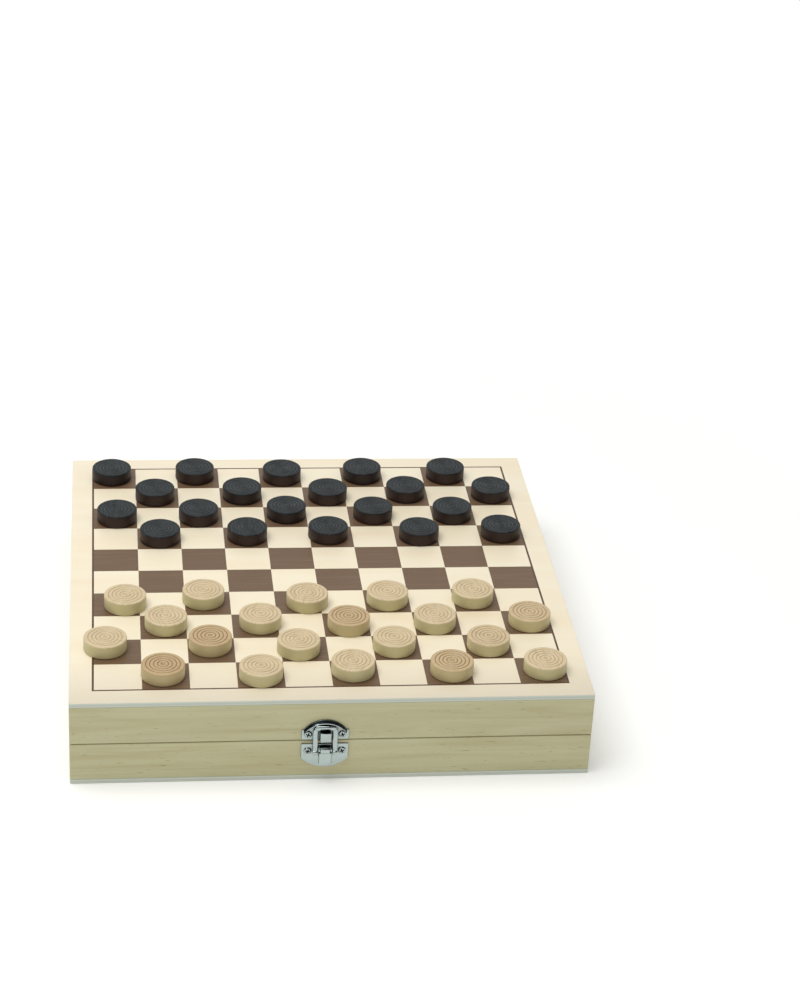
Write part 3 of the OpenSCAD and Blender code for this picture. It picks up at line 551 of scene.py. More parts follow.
def draught_wood(name, face, brown_face, ring, side, strength, faintest, roughness, **surface):
    """Turned beech under lacquer. Each draught is cut another way round from the plank, its
    rings have another colour at the bottom, scorched on light draughts and a painted highlight
    on dark ones, and its tone varies from piece to piece."""
    look = bpy.context.scene.games_box.draughts
    low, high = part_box("light_draughts_row_1")
    top = high.z - low.z
    material, tree, shader = new_material(name, roughness, **surface)
    blank = add(tree, "Attribute", {}, attribute_name="blank_at").outputs["Vector"]
    tone = add(tree, "Attribute", {}, attribute_name="tone").outputs["Fac"]
    turn = add(tree, "Math", {0: tone, 1: 7 * math.pi}, operation="MULTIPLY")
    seed = add(tree, "Math", {0: tone, 1: 37}, operation="MULTIPLY")
    turned = add(tree, "VectorRotate", {"Vector": blank, "Angle": turn},
                 rotation_type="Z_AXIS")
    flecks, fleck = streaks(tree, turned, (7, 0.8, 5), 3, 0.45, 0.75, 0.35 * strength,
                            seed=seed)
    brown = add(tree, "MapRange", {"Value": tone, "From Min": 0.5, "From Max": 0.9})
    own = add(tree, "Mix", {0: brown, 6: face, 7: brown_face}, data_type="RGBA")
    wood = add(tree, "Mix", {0: fleck, 6: own, 7: ring}, data_type="RGBA")

    # Where the rings lie: inside the rim, and below the face
    height = add(tree, "SeparateXYZ", {"Vector": blank}).outputs["Z"]
    flat = add(tree, "VectorMath", {0: blank, 1: (1, 1, 0)}, operation="MULTIPLY")
    radius = add(tree, "VectorMath", {0: flat}, operation="LENGTH")
    inside = add(tree, "Math", {0: radius, 1: DRAUGHT_R - look.rim + look.groove},
                 operation="LESS_THAN")
    hollow = add(tree, "MapRange", {"Value": height, "From Min": top - 0.1 * look.ring_depth,
                                    "From Max": top - look.ring_depth, "To Max": strength})
    depth = add(tree, "Math", {0: hollow, 1: inside}, operation="MULTIPLY")
    # On the light draughts the ring colour is scorching; on the dark draughts it is a painted
    # highlight
    scorch_and_highlight = add(tree, "MapRange", {"Value": tone, "From Min": 0.5, "From Max": 0.85,
                                    "To Min": faintest})
    ringed = add(tree, "Math", {0: depth, 1: scorch_and_highlight}, operation="MULTIPLY")

    # The side below the rim
    flank = add(tree, "MapRange", {"Value": height, "From Min": top - 0.2 * MM,
                                   "From Max": top - 1.2 * MM})
    outside = add(tree, "Math", {0: 1, 1: inside}, operation="SUBTRACT")
    sided = add(tree, "Math", {0: flank, 1: outside}, operation="MULTIPLY")
    browned = add(tree, "Math", {0: brown, 1: 0.45}, operation="MULTIPLY")
    own_side = add(tree, "Mix", {0: browned, 6: side, 7: brown_face}, data_type="RGBA")
    with_side = add(tree, "Mix", {0: sided, 6: wood, 7: own_side}, data_type="RGBA")
    whole = add(tree, "Mix", {0: ringed, 6: with_side, 7: ring}, data_type="RGBA")
    dress(tree, shader, whole, flecks, 0.3)
    return material


def turned_varnish(name, wood, worn, worn_share):
    """Turned wood under glossy varnish: growth lines along the piece, and a thicker coat that
    gives small sharp highlights."""
    material, tree, shader = new_material(name, 0.3, Coat_Weight=0.6, Coat_Roughness=0.12)
    blank = add(tree, "Attribute", {}, attribute_name="blank_at").outputs["Vector"]
    tone = add(tree, "Attribute", {}, attribute_name="tone").outputs["Fac"]
    seed = add(tree, "Math", {0: tone, 1: 41}, operation="MULTIPLY")
    lines, line = streaks(tree, blank, (2.2, 2.2, 22), 4, 0.42, 0.72, worn_share, 0.6, seed)
    whole = add(tree, "Mix", {0: line, 6: wood, 7: worn}, data_type="RGBA")
    dress(tree, shader, whole, lines, 0.2)
    return material


# ---------- Case ----------

GRAIN_SHIFT = {"lid": (0.11, -0.06, 0.05), "base": (0.37, 0.09, -0.12)}
PRINT_DEPTH = 0.05 * MM  # how far the ink reaches into a board


class MakeRails(bpy.types.Operator):
    """Planes the eight pine rails, with eased edges along the seam"""
    bl_idname = "games_box.make_rails"
    bl_label = "Pine rails"

    def execute(self, context):
        look = context.scene.games_box.case
        for part, seam_at in (("lid", 0), ("base", 1)):
            for side in ("front", "back", "left", "right"):
                node = f"{part}_{side}_rail"
                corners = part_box(node)
                bm = bmesh.new()
                add_box(bm, *corners)
                across = side in ("front", "back")
                outer = corners[0 if side == "front" else 1].y
                if across:
                    round_where(bm, look.corner, 4, lambda a, b: near(a.y, outer)
                                and near(b.y, outer) and near(a.x, b.x))
                for z, width, segments in (
                        (corners[seam_at].z, look.seam_arris, 3),
                        (corners[1 - seam_at].z, look.glue_arris, 2)):
                    round_where(bm, width, segments, lambda a, b: near(a.z, z)
                                and near(b.z, z) and (across or near(a.x, b.x)))
                x, y, z = GRAIN_SHIFT[part]
                wood = pine(f"lacquered_pine_{part}_{side}", "X" if across else "Y",
                            (x, y + 0.03 if side == "back" else y, z))
                finish_piece(f"{node}_planed", bm, part, wood, node)
        return {"FINISHED"}


class MakeBoards(bpy.types.Operator):
    """Cuts the two plywood panels, with a fine arris round the outer face"""
    bl_idname = "games_box.make_boards"
    bl_label = "Plywood boards"

    def execute(self, context):
        look = context.scene.games_box.case
        for node, body, face_at in (("draughts_board_panel", "lid", 1),
                                    ("chess_board_panel", "base", 0)):
            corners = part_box(node)
            face, glue = corners[face_at].z, corners[1 - face_at].z
            bm = bmesh.new()
            add_box(bm, *corners)
            round_where(bm, look.corner, 4, lambda a, b: near(a.x, b.x) and near(a.y, b.y))
            round_where(bm, look.arris, 3, lambda a, b: near(a.z, face) and near(b.z, face))
            round_where(bm, look.glue_arris, 2,
                        lambda a, b: near(a.z, glue) and near(b.z, glue))
            finish_piece(f"{node}_sanded", bm, body, plywood(f"plywood_{body}", node),
                         node)
        return {"FINISHED"}


def add_board_print(bm, count, side, line, first_dark, low, high):
    """Adds the dark squares and the line round them, from one height to another."""
    pitch = side / count
    for column in range(count):
        for row in range(count):
            if (column + row) % 2 == first_dark:
                x, y = column * pitch - side / 2, row * pitch - side / 2
                add_box(bm, (x, y, low), (x + pitch, y + pitch, high))
    half, outer = side / 2, side / 2 + line
    heavy = bm.verts.layers.float.new("heavy")
    for sign in (-1, 1):
        near_edge, far_edge = sorted((sign * half, sign * outer))
        for vert in (add_box(bm, (-outer, near_edge, low), (outer, far_edge, high))
                     + add_box(bm, (near_edge, -half, low), (far_edge, half, high))):
            vert[heavy] = 1


class MakePrints(bpy.types.Operator):
    """Prints the squares of both boards as a thin film of ink"""
    bl_idname = "games_box.make_prints"
    bl_label = "Printed boards"

    def execute(self, context):
        look = context.scene.games_box.case
        ink = screen_ink()
        for game, body in (("draughts", "lid"), ("chess", "base")):
            low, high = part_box(f"{game}_board_panel")
            width = high.x - low.x
            bm = bmesh.new()
            if game == "draughts":
                add_board_print(bm, 10, width - 2 * look.draughts_margin, look.line, 1,
                                high.z - PRINT_DEPTH, high.z + look.ink_film)
            else:
                side = width - 2 * look.chess_margin
                add_board_print(bm, 8, side, look.line, 0, low.z - look.ink_film,
                                low.z + PRINT_DEPTH)
                add_lettering(bm, side, look)
            finish_piece(f"{game}_board_ink", bm, body, ink, f"{game}_board_print")
        return {"FINISHED"}


def glyph_mesh(character, height, film):
    """A letter or number centred on the origin as a thin plate."""
    curve = bpy.data.curves.new("glyph", "FONT")
    curve.body = character
    curve.size = height / 0.7            # capitals take up 0.7 of the font's size
    curve.offset = height * 0.02
    curve.extrude = film
    curve.resolution_u = 6
    curve.align_x = "CENTER"
    holder = bpy.data.objects.new("glyph", curve)
    bpy.context.scene.collection.objects.link(holder)
    bpy.context.view_layer.update()
    mesh = bpy.data.meshes.new_from_object(holder)
    bpy.data.objects.remove(holder)
    bpy.data.curves.remove(curve)
    bm = bmesh.new()
    bm.from_mesh(mesh)
    bmesh.ops.remove_doubles(bm, verts=bm.verts, dist=1e-6)
    bmesh.ops.translate(bm, verts=bm.verts, vec=(0, -height / 2, 0))
    return to_loose_mesh(bm)


def add_lettering(bm, side, look):
    """Letters A to H along the board's near and far edges and numbers 1 to 8 up its sides,
    each facing the player on that side. From below, +Y is to the right and +X is up."""
    pitch = side / 8
    out = (side / 2 + look.line + look.chess_margin + side / 2) / 2
    seen_from_below = Matrix(((0, 1, 0, 0), (1, 0, 0, 0), (0, 0, -1, 0), (0, 0, 0, 1)))
    upright, half_turn = Matrix.Identity(4), Matrix.Rotation(math.pi, 4, "Z")
    heavy = bm.verts.layers.float["heavy"]
    for i in range(8):
        along = (i - 3.5) * pitch
        for character, here, there in (
                (chr(ord("A") + i), (along, -out, 0), (along, out, 0)),
                (str(i + 1), (-out, along, 0), (out, along, 0))):
            mesh = glyph_mesh(character, look.letter, look.ink_film)
            for place, turn in ((here, upright), (there, half_turn)):
                added = add_mesh(bm, mesh)
                for vert in added:
                    vert[heavy] = 1
                matrix = seen_from_below @ Matrix.Translation(place) @ turn
                bmesh.ops.transform(bm, matrix=matrix, verts=added)


# ---------- Draughts ----------

DRAUGHT_R = 12.5 * MM
ROW_GAP = 4 * MM         # two solids of a row lie further apart than this
ROW_TONES = {"light": 3, "dark": 31}
# Tone of the few browner draughts, by row and place in the row; the rest stay under a half
BROWNER = {(1, 0): 0.92, (1, 3): 0.8, (2, 1): 0.86, (2, 4): 0.6, (3, 2): 0.83, (3, 4): 0.68}


def draught_outline(look, radius, thickness):
    """Half section of a draught: flat rim, and rings turned into the upper face."""
    edge, groove = look.edge, look.groove
    outline = [(0, 0)] + arc((radius - edge, edge), edge, -90, 0, 4)
    outline += arc((radius - edge, thickness - edge), edge, 0, 90, 4)
    first = radius - look.rim - groove
    step = (first - groove - 0.5 * MM) / (look.rings - 1)
    for i in range(look.rings):
        middle = first - i * step
        outline += [(middle + groove * across, thickness - look.ring_depth * down)
                    for across, down in ((1, 0), (0.45, 0.75), (0, 1), (-0.45, 0.75), (-1, 0))]
    return outline + [(0, thickness)]


def solid_places(node, count):
    """Middle and lowest height of each solid of a node that holds a row along X."""
    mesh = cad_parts[node].data
    spans = sorted(v.co.x for v in mesh.vertices)
    groups, start = [], spans[0]
    for a, b in zip(spans, spans[1:]):
        if b - a > ROW_GAP:
            groups.append((start, a))
            start = b
    groups.append((start, spans[-1]))
    if len(groups) != count:
        raise RuntimeError(f"{node} has {len(groups)} solids along X, not {count}")
    places = []
    for left, right in groups:
        ys = [v.co.y for v in mesh.vertices if left - MM < v.co.x < right + MM]
        places.append(((left + right) / 2, (min(ys) + max(ys)) / 2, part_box(node)[0].z))
    return places


class MakeDraughts(bpy.types.Operator):
    """Turns the forty draughts, each where the frame holds it"""
    bl_idname = "games_box.make_draughts"
    bl_label = "Draughts"

    def execute(self, context):
        look = context.scene.games_box.draughts
        tints = finishes()
        low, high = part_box("light_draughts_row_1")
        blank = turned_mesh(draught_outline(look, DRAUGHT_R, high.z - low.z), 72)
        woods = {
            "light": draught_wood("lacquered_beech", tints.light_draught, tints.brown_draught,
                                  tints.light_ring, tints.light_side, 0.9, 0.38, 0.42),
            "dark": draught_wood("black_stained_beech", tints.dark_draught, tints.dark_draught,
                                 tints.dark_ring_highlight, tints.dark_side, 0.75, 0.85, 0.5,
                                 Specular_IOR_Level=0.25),
        }
        for side, wood in woods.items():
            for row in range(1, 5):
                node = f"{side}_draughts_row_{row}"
                bm = bmesh.new()
                for i, place in enumerate(solid_places(node, 5)):
                    tone = BROWNER.get((row, i), tone_of(ROW_TONES[side] + 5 * row + i) / 2)
                    add_copy(bm, blank, Matrix.Translation(place), tone)
                finish_piece(f"{node}_turned", bm, f"{side}_draughts_{row}",
                             wood, node)
        return {"FINISHED"}


# ---------- Chess men ----------

KNIGHT_HEIGHT = 39.5     # height in millimetres that the knight's side view is drawn for
EASE = 0.5 * MM          # rounding of collars and of a foot's rim


def foot(r, rim, shoulder, bell):
    """The foot of every chess man: a rim, a turned groove and a round shoulder."""
    toe = 0.6 * MM
    return ([(0, 0), (r - toe, 0)] + arc((r - toe, toe), toe, -60, 0, 3)
            + arc((r - EASE, rim - EASE), EASE, 0, 90, 3) + [(r - 0.8 * MM, rim + 0.3 * MM)]
            + [(bell + (r - 0.4 * MM - bell) * math.cos(t),
                rim + 0.6 * MM + shoulder * math.sin(t))
               for t in (math.radians(90 * i / 8) for i in range(9))])


def waist(start, stop, steps=10):
    """A hollow curve that draws in from one radius and height to another."""
    shares = [i / steps for i in range(1, steps + 1)]
    return [(stop[0] + (start[0] - stop[0]) * (1 - t) ** 2,
             start[1] + (stop[1] - start[1]) * t) for t in shares]


def collar(r, low, high):
    """A turned ring with round edges."""
    ease = min(EASE, (high - low) / 2)
    return arc((r - ease, low + ease), ease, -90, 0, 3) + \
        arc((r - ease, high - ease), ease, 0, 90, 3)


def rim_top(height):
    return 0.05 * height + 3.4 * MM


def king_outline(r, h):
    crown = 0.755 * h
    return (foot(r, rim_top(h), 3.5 * MM, 0.76 * r)
            + waist((0.76 * r, 0.19 * h), (0.47 * r, 0.44 * h))
            + collar(0.84 * r, 0.47 * h, 0.515 * h) + collar(0.67 * r, 0.52 * h, 0.555 * h)
            + [(0.51 * r, 0.6 * h), (0.54 * r, 0.64 * h), (0.62 * r, 0.7 * h)]
            + [(0.76 * r, crown - MM), (0.78 * r, crown), (0.68 * r, crown + 2 * MM)]
            + [(0.36 * r, 0.82 * h), (0.3 * r, 0.84 * h), (0, 0.84 * h)])


def queen_outline(r, h):
    crown = 0.775 * h
    knob = 0.45 * r
    return (foot(r, rim_top(h), 3.4 * MM, 0.76 * r)
            + waist((0.76 * r, 0.19 * h), (0.45 * r, 0.45 * h))
            + collar(0.83 * r, 0.485 * h, 0.535 * h) + collar(0.66 * r, 0.54 * h, 0.575 * h)
            + [(0.52 * r, 0.63 * h), (0.6 * r, 0.69 * h), (0.78 * r, crown - MM)]
            + [(0.8 * r, crown), (0.7 * r, crown + 2 * MM), (0.36 * r, 0.855 * h)]
            + arc((0, h - knob), knob, -40, 90, 12))


def bishop_outline(r, h):
    knob = 0.56 * r
    return (foot(r, rim_top(h), 3.4 * MM, 0.72 * r)
            + waist((0.72 * r, 0.24 * h), (0.48 * r, 0.42 * h))
            + collar(0.79 * r, 0.47 * h, 0.53 * h) + collar(0.79 * r, 0.54 * h, 0.59 * h)
            + [(0.74 * r, 0.6 * h), (0.77 * r, 0.64 * h), (0.72 * r, 0.69 * h)]
            + [(0.56 * r, 0.76 * h), (0.44 * r, 0.815 * h)]
            + arc((0, h - knob), knob, -35, 90, 12))


def rook_outline(r, h):
    cup = 0.72 * r
    return (foot(r, rim_top(h) + MM, 3 * MM, 0.74 * r)
            + waist((0.74 * r, 0.3 * h), (0.48 * r, 0.52 * h))
            + [(0.5 * r, 0.58 * h), (cup - 0.3 * MM, 0.66 * h)]
            + collar(cup, 0.67 * h, 0.735 * h) + collar(cup, 0.745 * h, 0.81 * h)
            + [(cup, 0.825 * h), (cup + 0.2 * MM, h - 0.4 * MM), (cup - 0.3 * MM, h)]
            + [(cup - 1.1 * MM, h), (cup - 1.3 * MM, h - 2.4 * MM), (0, h - 2.6 * MM)])


def pawn_outline(r, h):
    head = 0.71 * r
    return (foot(r, rim_top(h), 2.4 * MM, 0.72 * r)
            + waist((0.72 * r, 0.28 * h), (0.42 * r, 0.5 * h))
            + collar(0.72 * r, 0.525 * h, 0.6 * h) + [(0.45 * r, 0.62 * h)]
            + arc((0, h - head), head, -48, 90, 14))


def knight_side_view():
    """Side view of a knight's sawn head in millimetres, facing +X."""
    return ([(-4.6, 11), (-6.4, 14.5), (-7.3, 19), (-7.2, 38.4), (-6.2, 39.5), (-1.6, 39.3)]
            + [(0.8, 37), (9.6, 36.3)] + arc((9.6, 35.3), 1, 90, 0, 3)
            + arc((9.6, 27), 1, 0, -90, 3) + [(5.4, 25.7), (4.7, 24.9), (8.9, 21)]
            + arc((5.2, 17), 4.8, 40, -60, 8) + [(4.8, 11)])


def knight_mesh(look):
    r, h, half = look.knight_d / 2, look.knight_h, look.knight_t / 2
    scale = h / KNIGHT_HEIGHT
    bm = bmesh.new()
    add_turned(bm, foot(r, rim_top(h) + 1.6 * MM, 2.6 * MM, 0.6 * r)
               + [(0.6 * r, 12 * MM), (0, 12 * MM)], 48)
    add_plate(bm, [(x * scale, z * scale) for x, z in knight_side_view()], -half, half,
              0.7 * MM, UPRIGHT, both=True)
    return to_loose_mesh(bm)


def king_mesh(look):
    """A king with its flat sided finial, notched on both sides."""
    r, h = look.king_d / 2, look.king_h
    half = 2.9 * MM
    notch = 0.13 * r
    bm = bmesh.new()
    add_turned(bm, king_outline(r, h), 56)
    side = [(0.3 * r, 0.83 * h), (0.42 * r, 0.865 * h), (0.42 * r, 0.9 * h - notch)]
    side += arc((0.45 * r, 0.9 * h), notch, 250, 110, 5)
    side += [(0.42 * r, 0.9 * h + notch), (0.42 * r, 0.955 * h), (0.27 * r, h - 0.2 * MM)]
    add_plate(bm, mirrored(side), -half, half, 0.6 * MM, UPRIGHT, both=True)
    return to_loose_mesh(bm)


def laid(rim, head):
    """Lays a man on its side so that its rim and its head both touch the floor. Each is the
    touching point as (radius, height up the man)."""
    lean = math.atan((rim[0] - head[0]) / (head[1] - rim[1]))
    drop = rim[0] * math.cos(lean) + rim[1] * math.sin(lean)
    return Matrix.Translation((0, 0, drop)) @ Matrix.Rotation(-math.pi / 2 - lean, 4, "X")


def chess_set(look):
    """Each kind's blank, files, foot, extra height of its foot's rim, and the point of its head
    that touches the floor."""
    king, queen, bishop = look.king_h, look.queen_h, look.bishop_h
    rook, pawn = look.rook_h, look.pawn_h
    return {
        "king": (king_mesh(look), (5,), look.king_d, rim_top(king),
                 (0.39 * look.king_d, 0.755 * king)),
        "queen": (turned_mesh(queen_outline(look.queen_d / 2, queen)), (4,), look.queen_d,
                  rim_top(queen), (0.4 * look.queen_d, 0.775 * queen)),
        "bishops": (turned_mesh(bishop_outline(look.bishop_d / 2, bishop)), (3, 6),
                    look.bishop_d, rim_top(bishop),
                    (0.395 * look.bishop_d, 0.59 * bishop - 0.4 * MM)),
        "knights": (knight_mesh(look), (2, 7), look.knight_d,
                    rim_top(look.knight_h) + 1.6 * MM, (look.knight_t / 2, look.knight_h)),
        "rooks": (turned_mesh(rook_outline(look.rook_d / 2, rook)), (1, 8), look.rook_d,
                  rim_top(rook) + MM, (0.36 * look.rook_d + 0.2 * MM, rook - 0.4 * MM)),
        "pawns": (turned_mesh(pawn_outline(look.pawn_d / 2, pawn), 48), range(1, 9),
                  look.pawn_d, rim_top(pawn),
                  (0.355 * look.pawn_d, pawn - 0.355 * look.pawn_d)),
    }


class MakeChessMen(bpy.types.Operator):
    """Turns the thirty two chess men, laid in the base tray"""
    bl_idname = "games_box.make_chess_men"
    bl_label = "Chess men"

    def execute(self, context):
        look = context.scene.games_box.chess
        tints = finishes()
        woods = {
            "light": turned_varnish("varnished_box_wood", tints.light_man, tints.pine_fleck,
                                    0.22),
            "dark": turned_varnish("varnished_dark_stained_wood", tints.dark_man,
                                   tints.dark_man_worn, 0.8),
        }
        pitch = 2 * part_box("base_right_rail")[0].x / 8
        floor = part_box("chess_board_panel")[1].z + look.rest_gap
        rank_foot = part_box("base_back_rail")[0].y - look.wall_gap
        pawn_foot = rank_foot - look.king_h - look.row_gap
        number = 0
        for kind, (blank, files, foot_d, rim, head) in chess_set(look).items():
            foot_y, rank = ((pawn_foot, "pawn_rank") if kind == "pawns"
                            else (rank_foot, "back_rank"))
            for side, side_name in ((1, "light"), (-1, "dark")):
                node = f"{side_name}_{kind}"
                bm = bmesh.new()
                for file in files:
                    number += 1
                    place = Matrix.Translation(((file - 4.5) * pitch, side * foot_y, floor))
                    if side > 0:
                        place = place @ Matrix.Rotation(math.pi, 4, "Z")
                    place = place @ laid((foot_d / 2, rim - EASE), head)
                    if node.endswith("knights") and file == 7:
                        place = place @ Matrix.Diagonal((-1, 1, 1, 1))
                    add_copy(bm, blank, place, tone_of(number))
                finish_piece(f"{node}_turned", bm, f"{side_name}_{rank}",
                             woods[side_name], node)
        return {"FINISHED"}


# ---------- Hardware ----------

SLOT = 0.7 * MM          # depth of the cross in a screw's head
SHANK = 7 * MM           # length of every screw behind its plate
SCREW_TURN = math.radians(20)
TAB_SIDE_SHADE = 0.9              # painted shade on the sides of the thumb tab
ROLL_OUT = 0.4 * MM      # the crossbar's roll stands out, clear of the catch plate behind it


def arch(radius, top, foot_y, steps=14):
    """Right half of an arch, from a height up to its top."""
    middle = top - radius
    start = math.degrees(math.asin((foot_y - middle) / radius))
    return arc((0, middle), radius, start, 90, steps)


def cross_mesh(reach, width, low, high):
    half = width / 2
    outline = []
    for c, s in ((1, 0), (0, 1), (-1, 0), (0, -1)):
        outline += [(x * c - y * s, x * s + y * c)
                    for x, y in ((reach, -half), (reach, half), (half, half))]
    bm = bmesh.new()
    add_plate(bm, outline, low, high)
    return to_loose_mesh(bm)


def screw_mesh(radius, rise, reach):
    """A cross head screw whose head stands on the plane at zero."""
    flank, shank = 0.15 * rise, 1 * MM
    outline = [(0, -reach), (shank, 1.5 * MM - reach), (shank, 0), (radius, 0), (radius, flank)]
    outline += [(radius * math.cos(t), flank + (rise - flank) * math.sin(t))
                for t in (math.radians(90 * i / 7) for i in range(1, 7))]
    head = turned_mesh(outline + [(0, rise)], 40)
    return cut_away(head, cross_mesh(0.62 * radius, 0.8 * MM, rise - SLOT, rise + MM))


def add_screws(bm, head, rise, places):
    """Adds screws, each turned differently, with painted shade at the bottom of their slots."""
    for i, place in enumerate(places):
        turn = Matrix.Rotation(SCREW_TURN if i % 2 else -SCREW_TURN, 4, "Z")
        added = add_copy(bm, head, Matrix.Translation(place) @ turn)
        at, painted_shade = bm.verts.layers.float_vector["blank_at"], bm.verts.layers.float["tone"]
        # Painted shade at the bottom of each slot
        for vert in added:
            if near(vert[at].z, rise - SLOT):
                vert[painted_shade] = 1


def finish_metal(node, how, bm, body, plate, world=Matrix.Identity(4)):
    """Finishes a piece of hardware that was made in the frame of its fitting."""
    bmesh.ops.transform(bm, matrix=world, verts=bm.verts)
    finish_piece(f"{node}_{how}", bm, body, plate, node, sharp=35)


def catch_plate_mesh(look):
    """Catch plate: straight flanks with small shoulders, an arched top with a raised bead, and
    the hook that holds the bail."""
    sheet, lip = look.sheet, look.lip
    half = look.width / 2
    outer = arch(look.arch, look.catch_top, look.shoulder)
    inner = arch(look.arch, look.catch_top - look.bead, look.shoulder)
    bm = bmesh.new()
    add_plate(bm, mirrored([(half, look.catch_foot), (half, look.shoulder)] + outer), 0, sheet,
              look.edge)

    def ridge(co):
        """Leans the bead's outer slope in over most of its width."""
        is_outer = near(math.hypot(co.x, co.y - look.catch_top + look.arch), look.arch)
        return co + Vector((0, -0.62 * look.bead if is_outer else 0.15 * look.bead, 0))

    bead = mirrored(outer) + [(-x, y) for x, y in inner[:-1]] + list(reversed(inner))
    add_plate(bm, bead, 0.9 * sheet, sheet + look.bead_rise, 0.25 * MM, crest=ridge)
    # The hook's section, as (out from the lip, up), round from the wood to the wood
    nose = [(0.4, 0.65), (0.8, 0.8), (1.1, 0.55), (1.15, 0), (1.1, -0.8)]
    throat = [(0.35, 2.2), (-0.3, 1.1), (-1.05, 0.3), (-2.55, -0.2)]
    hook = [(sheet / 2, 0), (sheet / 2, look.shoulder), (lip, look.shoulder)]
    hook += [(lip + out * MM, look.shoulder + up * MM) for out, up in nose]
    hook += [(lip + out * MM, up * MM) for out, up in throat]
    add_plate(bm, hook, -look.hook / 2, look.hook / 2, 0.4 * MM, ACROSS, both=True)
    return bm


def latch_plate_mesh(look, ear_x):
    """Latch plate: straight flanks, a curved bottom, and two ears for the lever's pin."""
    half, root = look.width / 2, look.sheet / 2
    middle = look.bottom_arch - look.latch_bottom
    turn = -math.degrees(math.acos(half / look.bottom_arch))
    curve = arc((0, middle), look.bottom_arch, -90, turn, 14)
    bm = bmesh.new()
    add_plate(bm, mirrored(curve + [(half, -look.latch_head)]), 0, look.sheet, look.edge)
    out, up, r = look.pivot_out, -look.pivot_down, look.ear
    ear = [(root, up - r)] + arc((out, up), r, -90, 90, 10) + [(root, up + r)]
    for x in (-ear_x, ear_x):
        add_plate(bm, ear, x - root, x + root, 0.2 * MM, ACROSS, both=True)
    return bm


def lever_mesh(look, pin, neck):
    """Lever: a boss round its two pins and a flat thumb tab that flares outwards."""
    out, up, r, ease = look.pivot_out, -look.pivot_down, look.boss, 0.6 * MM
    low = pin[1] - r - 0.15 * MM
    boss = arc((out, up), r, 0, 180, 10)
    boss += arc((pin[0] - r + ease, low + ease), ease, 180, 270, 4)
    boss += arc((out + r - ease, low + ease), ease, 270, 360, 4)
    bm = bmesh.new()
    add_plate(bm, boss, -neck / 2, neck / 2, 0.25 * MM, ACROSS, both=True)
    tab = [(out + away * MM, up - down * MM)
           for away, down in ((0.7, 1.75), (1.35, 1.75), (1.25, 5), (1.5, 8.5), (0.7, 8.7),
                              (0.45, 5.1))]
    half = look.lever / 2
    add_plate(bm, tab, -half, half, 0.4 * MM, ACROSS, both=True)
    # Painted shade along the thumb tab's sides
    painted_shade = bm.verts.layers.float.new("tone")
    for vert in bm.verts:
        if abs(vert.co.x) > half - 0.2 * MM:
            vert[painted_shade] = TAB_SIDE_SHADE
    return bm


def bail_mesh(look, reach):
    """Bail: two broad legs under an arched crossbar, with an eye at the foot of each leg. Its
    pin lies at the origin and its crossbar at a reach along Y."""
    half, leg, crown, root = look.bail / 2, look.leg, look.crown, look.sheet / 2
    top, inside = reach + look.bar_height / 2, reach - look.bar_height / 2
    sole, hem = -1.5 * MM, 1 * MM
    outer = [(half, sole)] + arc((half - crown, top - crown), crown, 0, 90, 8)
    inner = [(half - leg, sole)] + arc((half - leg - hem, inside - hem), hem, 0, 90, 4)
    bm = bmesh.new()
    add_plate(bm, mirrored(outer) + [(-x, y) for x, y in inner] + list(reversed(inner)),
              -root, root, look.edge, both=True)
    eye = pin_mesh(look.eye, leg, 0.2 * MM)
    for sign in (-1, 1):
        add_copy(bm, eye, Matrix.Translation((sign * (half - leg / 2), 0, 0)))
    roll = pin_mesh(look.bar_height / 2 - 0.05 * MM, 2 * half - 1.6 * MM, 1.3 * MM)
    add_copy(bm, roll,
             Matrix.Translation((0, reach, ROLL_OUT)) @ Matrix.Diagonal((1, 1, 0.7, 1)))
    return bm


class MakeLatch(bpy.types.Operator):
    """Presses the toggle latch: catch plate, latch plate, lever, bail, pins and screws"""
    bl_idname = "games_box.make_latch"
    bl_label = "Latch"

    def execute(self, context):
        look = context.scene.games_box.latch
        plate = nickel_plate()
        low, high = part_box("catch_plate")
        seam = (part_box("base_front_rail")[1].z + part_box("lid_front_rail")[0].z) / 2
        # x to the right, y up from the seam, z out from the front of the case
        world = Matrix(((1, 0, 0, (low.x + high.x) / 2), (0, 0, -1, high.y),
                        (0, 1, 0, seam), (0, 0, 0, 1)))
        ear_x = look.bail / 2 - look.leg - 0.3 * MM - look.sheet / 2
        neck = 2 * (ear_x - look.sheet / 2 - 0.2 * MM)
        low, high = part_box("bail_pin")
        pin = (world.inverted() @ ((low + high) / 2)).zy
        along = Vector((look.bar_out, look.bar)) - pin
        swung = (world @ Matrix.Translation((0, pin.y, pin.x))
                 @ Matrix.Rotation(math.atan2(along.x, along.y), 4, "X"))
        for node, bm, body in (("catch_plate", catch_plate_mesh(look), "lid"),
                               ("latch_plate", latch_plate_mesh(look, ear_x), "base")):
            finish_metal(node, "pressed", bm, body, plate, world)
        head = screw_mesh(look.dome, look.dome_rise, look.sheet + SHANK)
        for part, up, body in (("catch", look.screw_up, "lid"),
                               ("latch", -look.screw_down, "base")):
            bm = bmesh.new()
            add_screws(bm, head, look.dome_rise,
                       [(x * look.screw_span / 2, up, look.sheet) for x in (-1, 1)])
            finish_metal(f"{part}_screws", "driven", bm, body, plate, world)
        for node, bm, place in (("latch_lever", lever_mesh(look, pin, neck), world),
                                ("latch_bail", bail_mesh(look, along.length), swung)):
            finish_metal(node, "pressed", bm, node, plate, place)
        for node, body in (("lever_pin", "base"), ("bail_pin", "latch_lever")):
            low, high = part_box(node)
            bm = bmesh.new()
            add_copy(bm, pin_mesh((high.z - low.z) / 2, high.x - low.x, 0.25 * MM),
                     Matrix.Translation((low + high) / 2))
            finish_metal(node, "riveted", bm, body, plate)
        return {"FINISHED"}


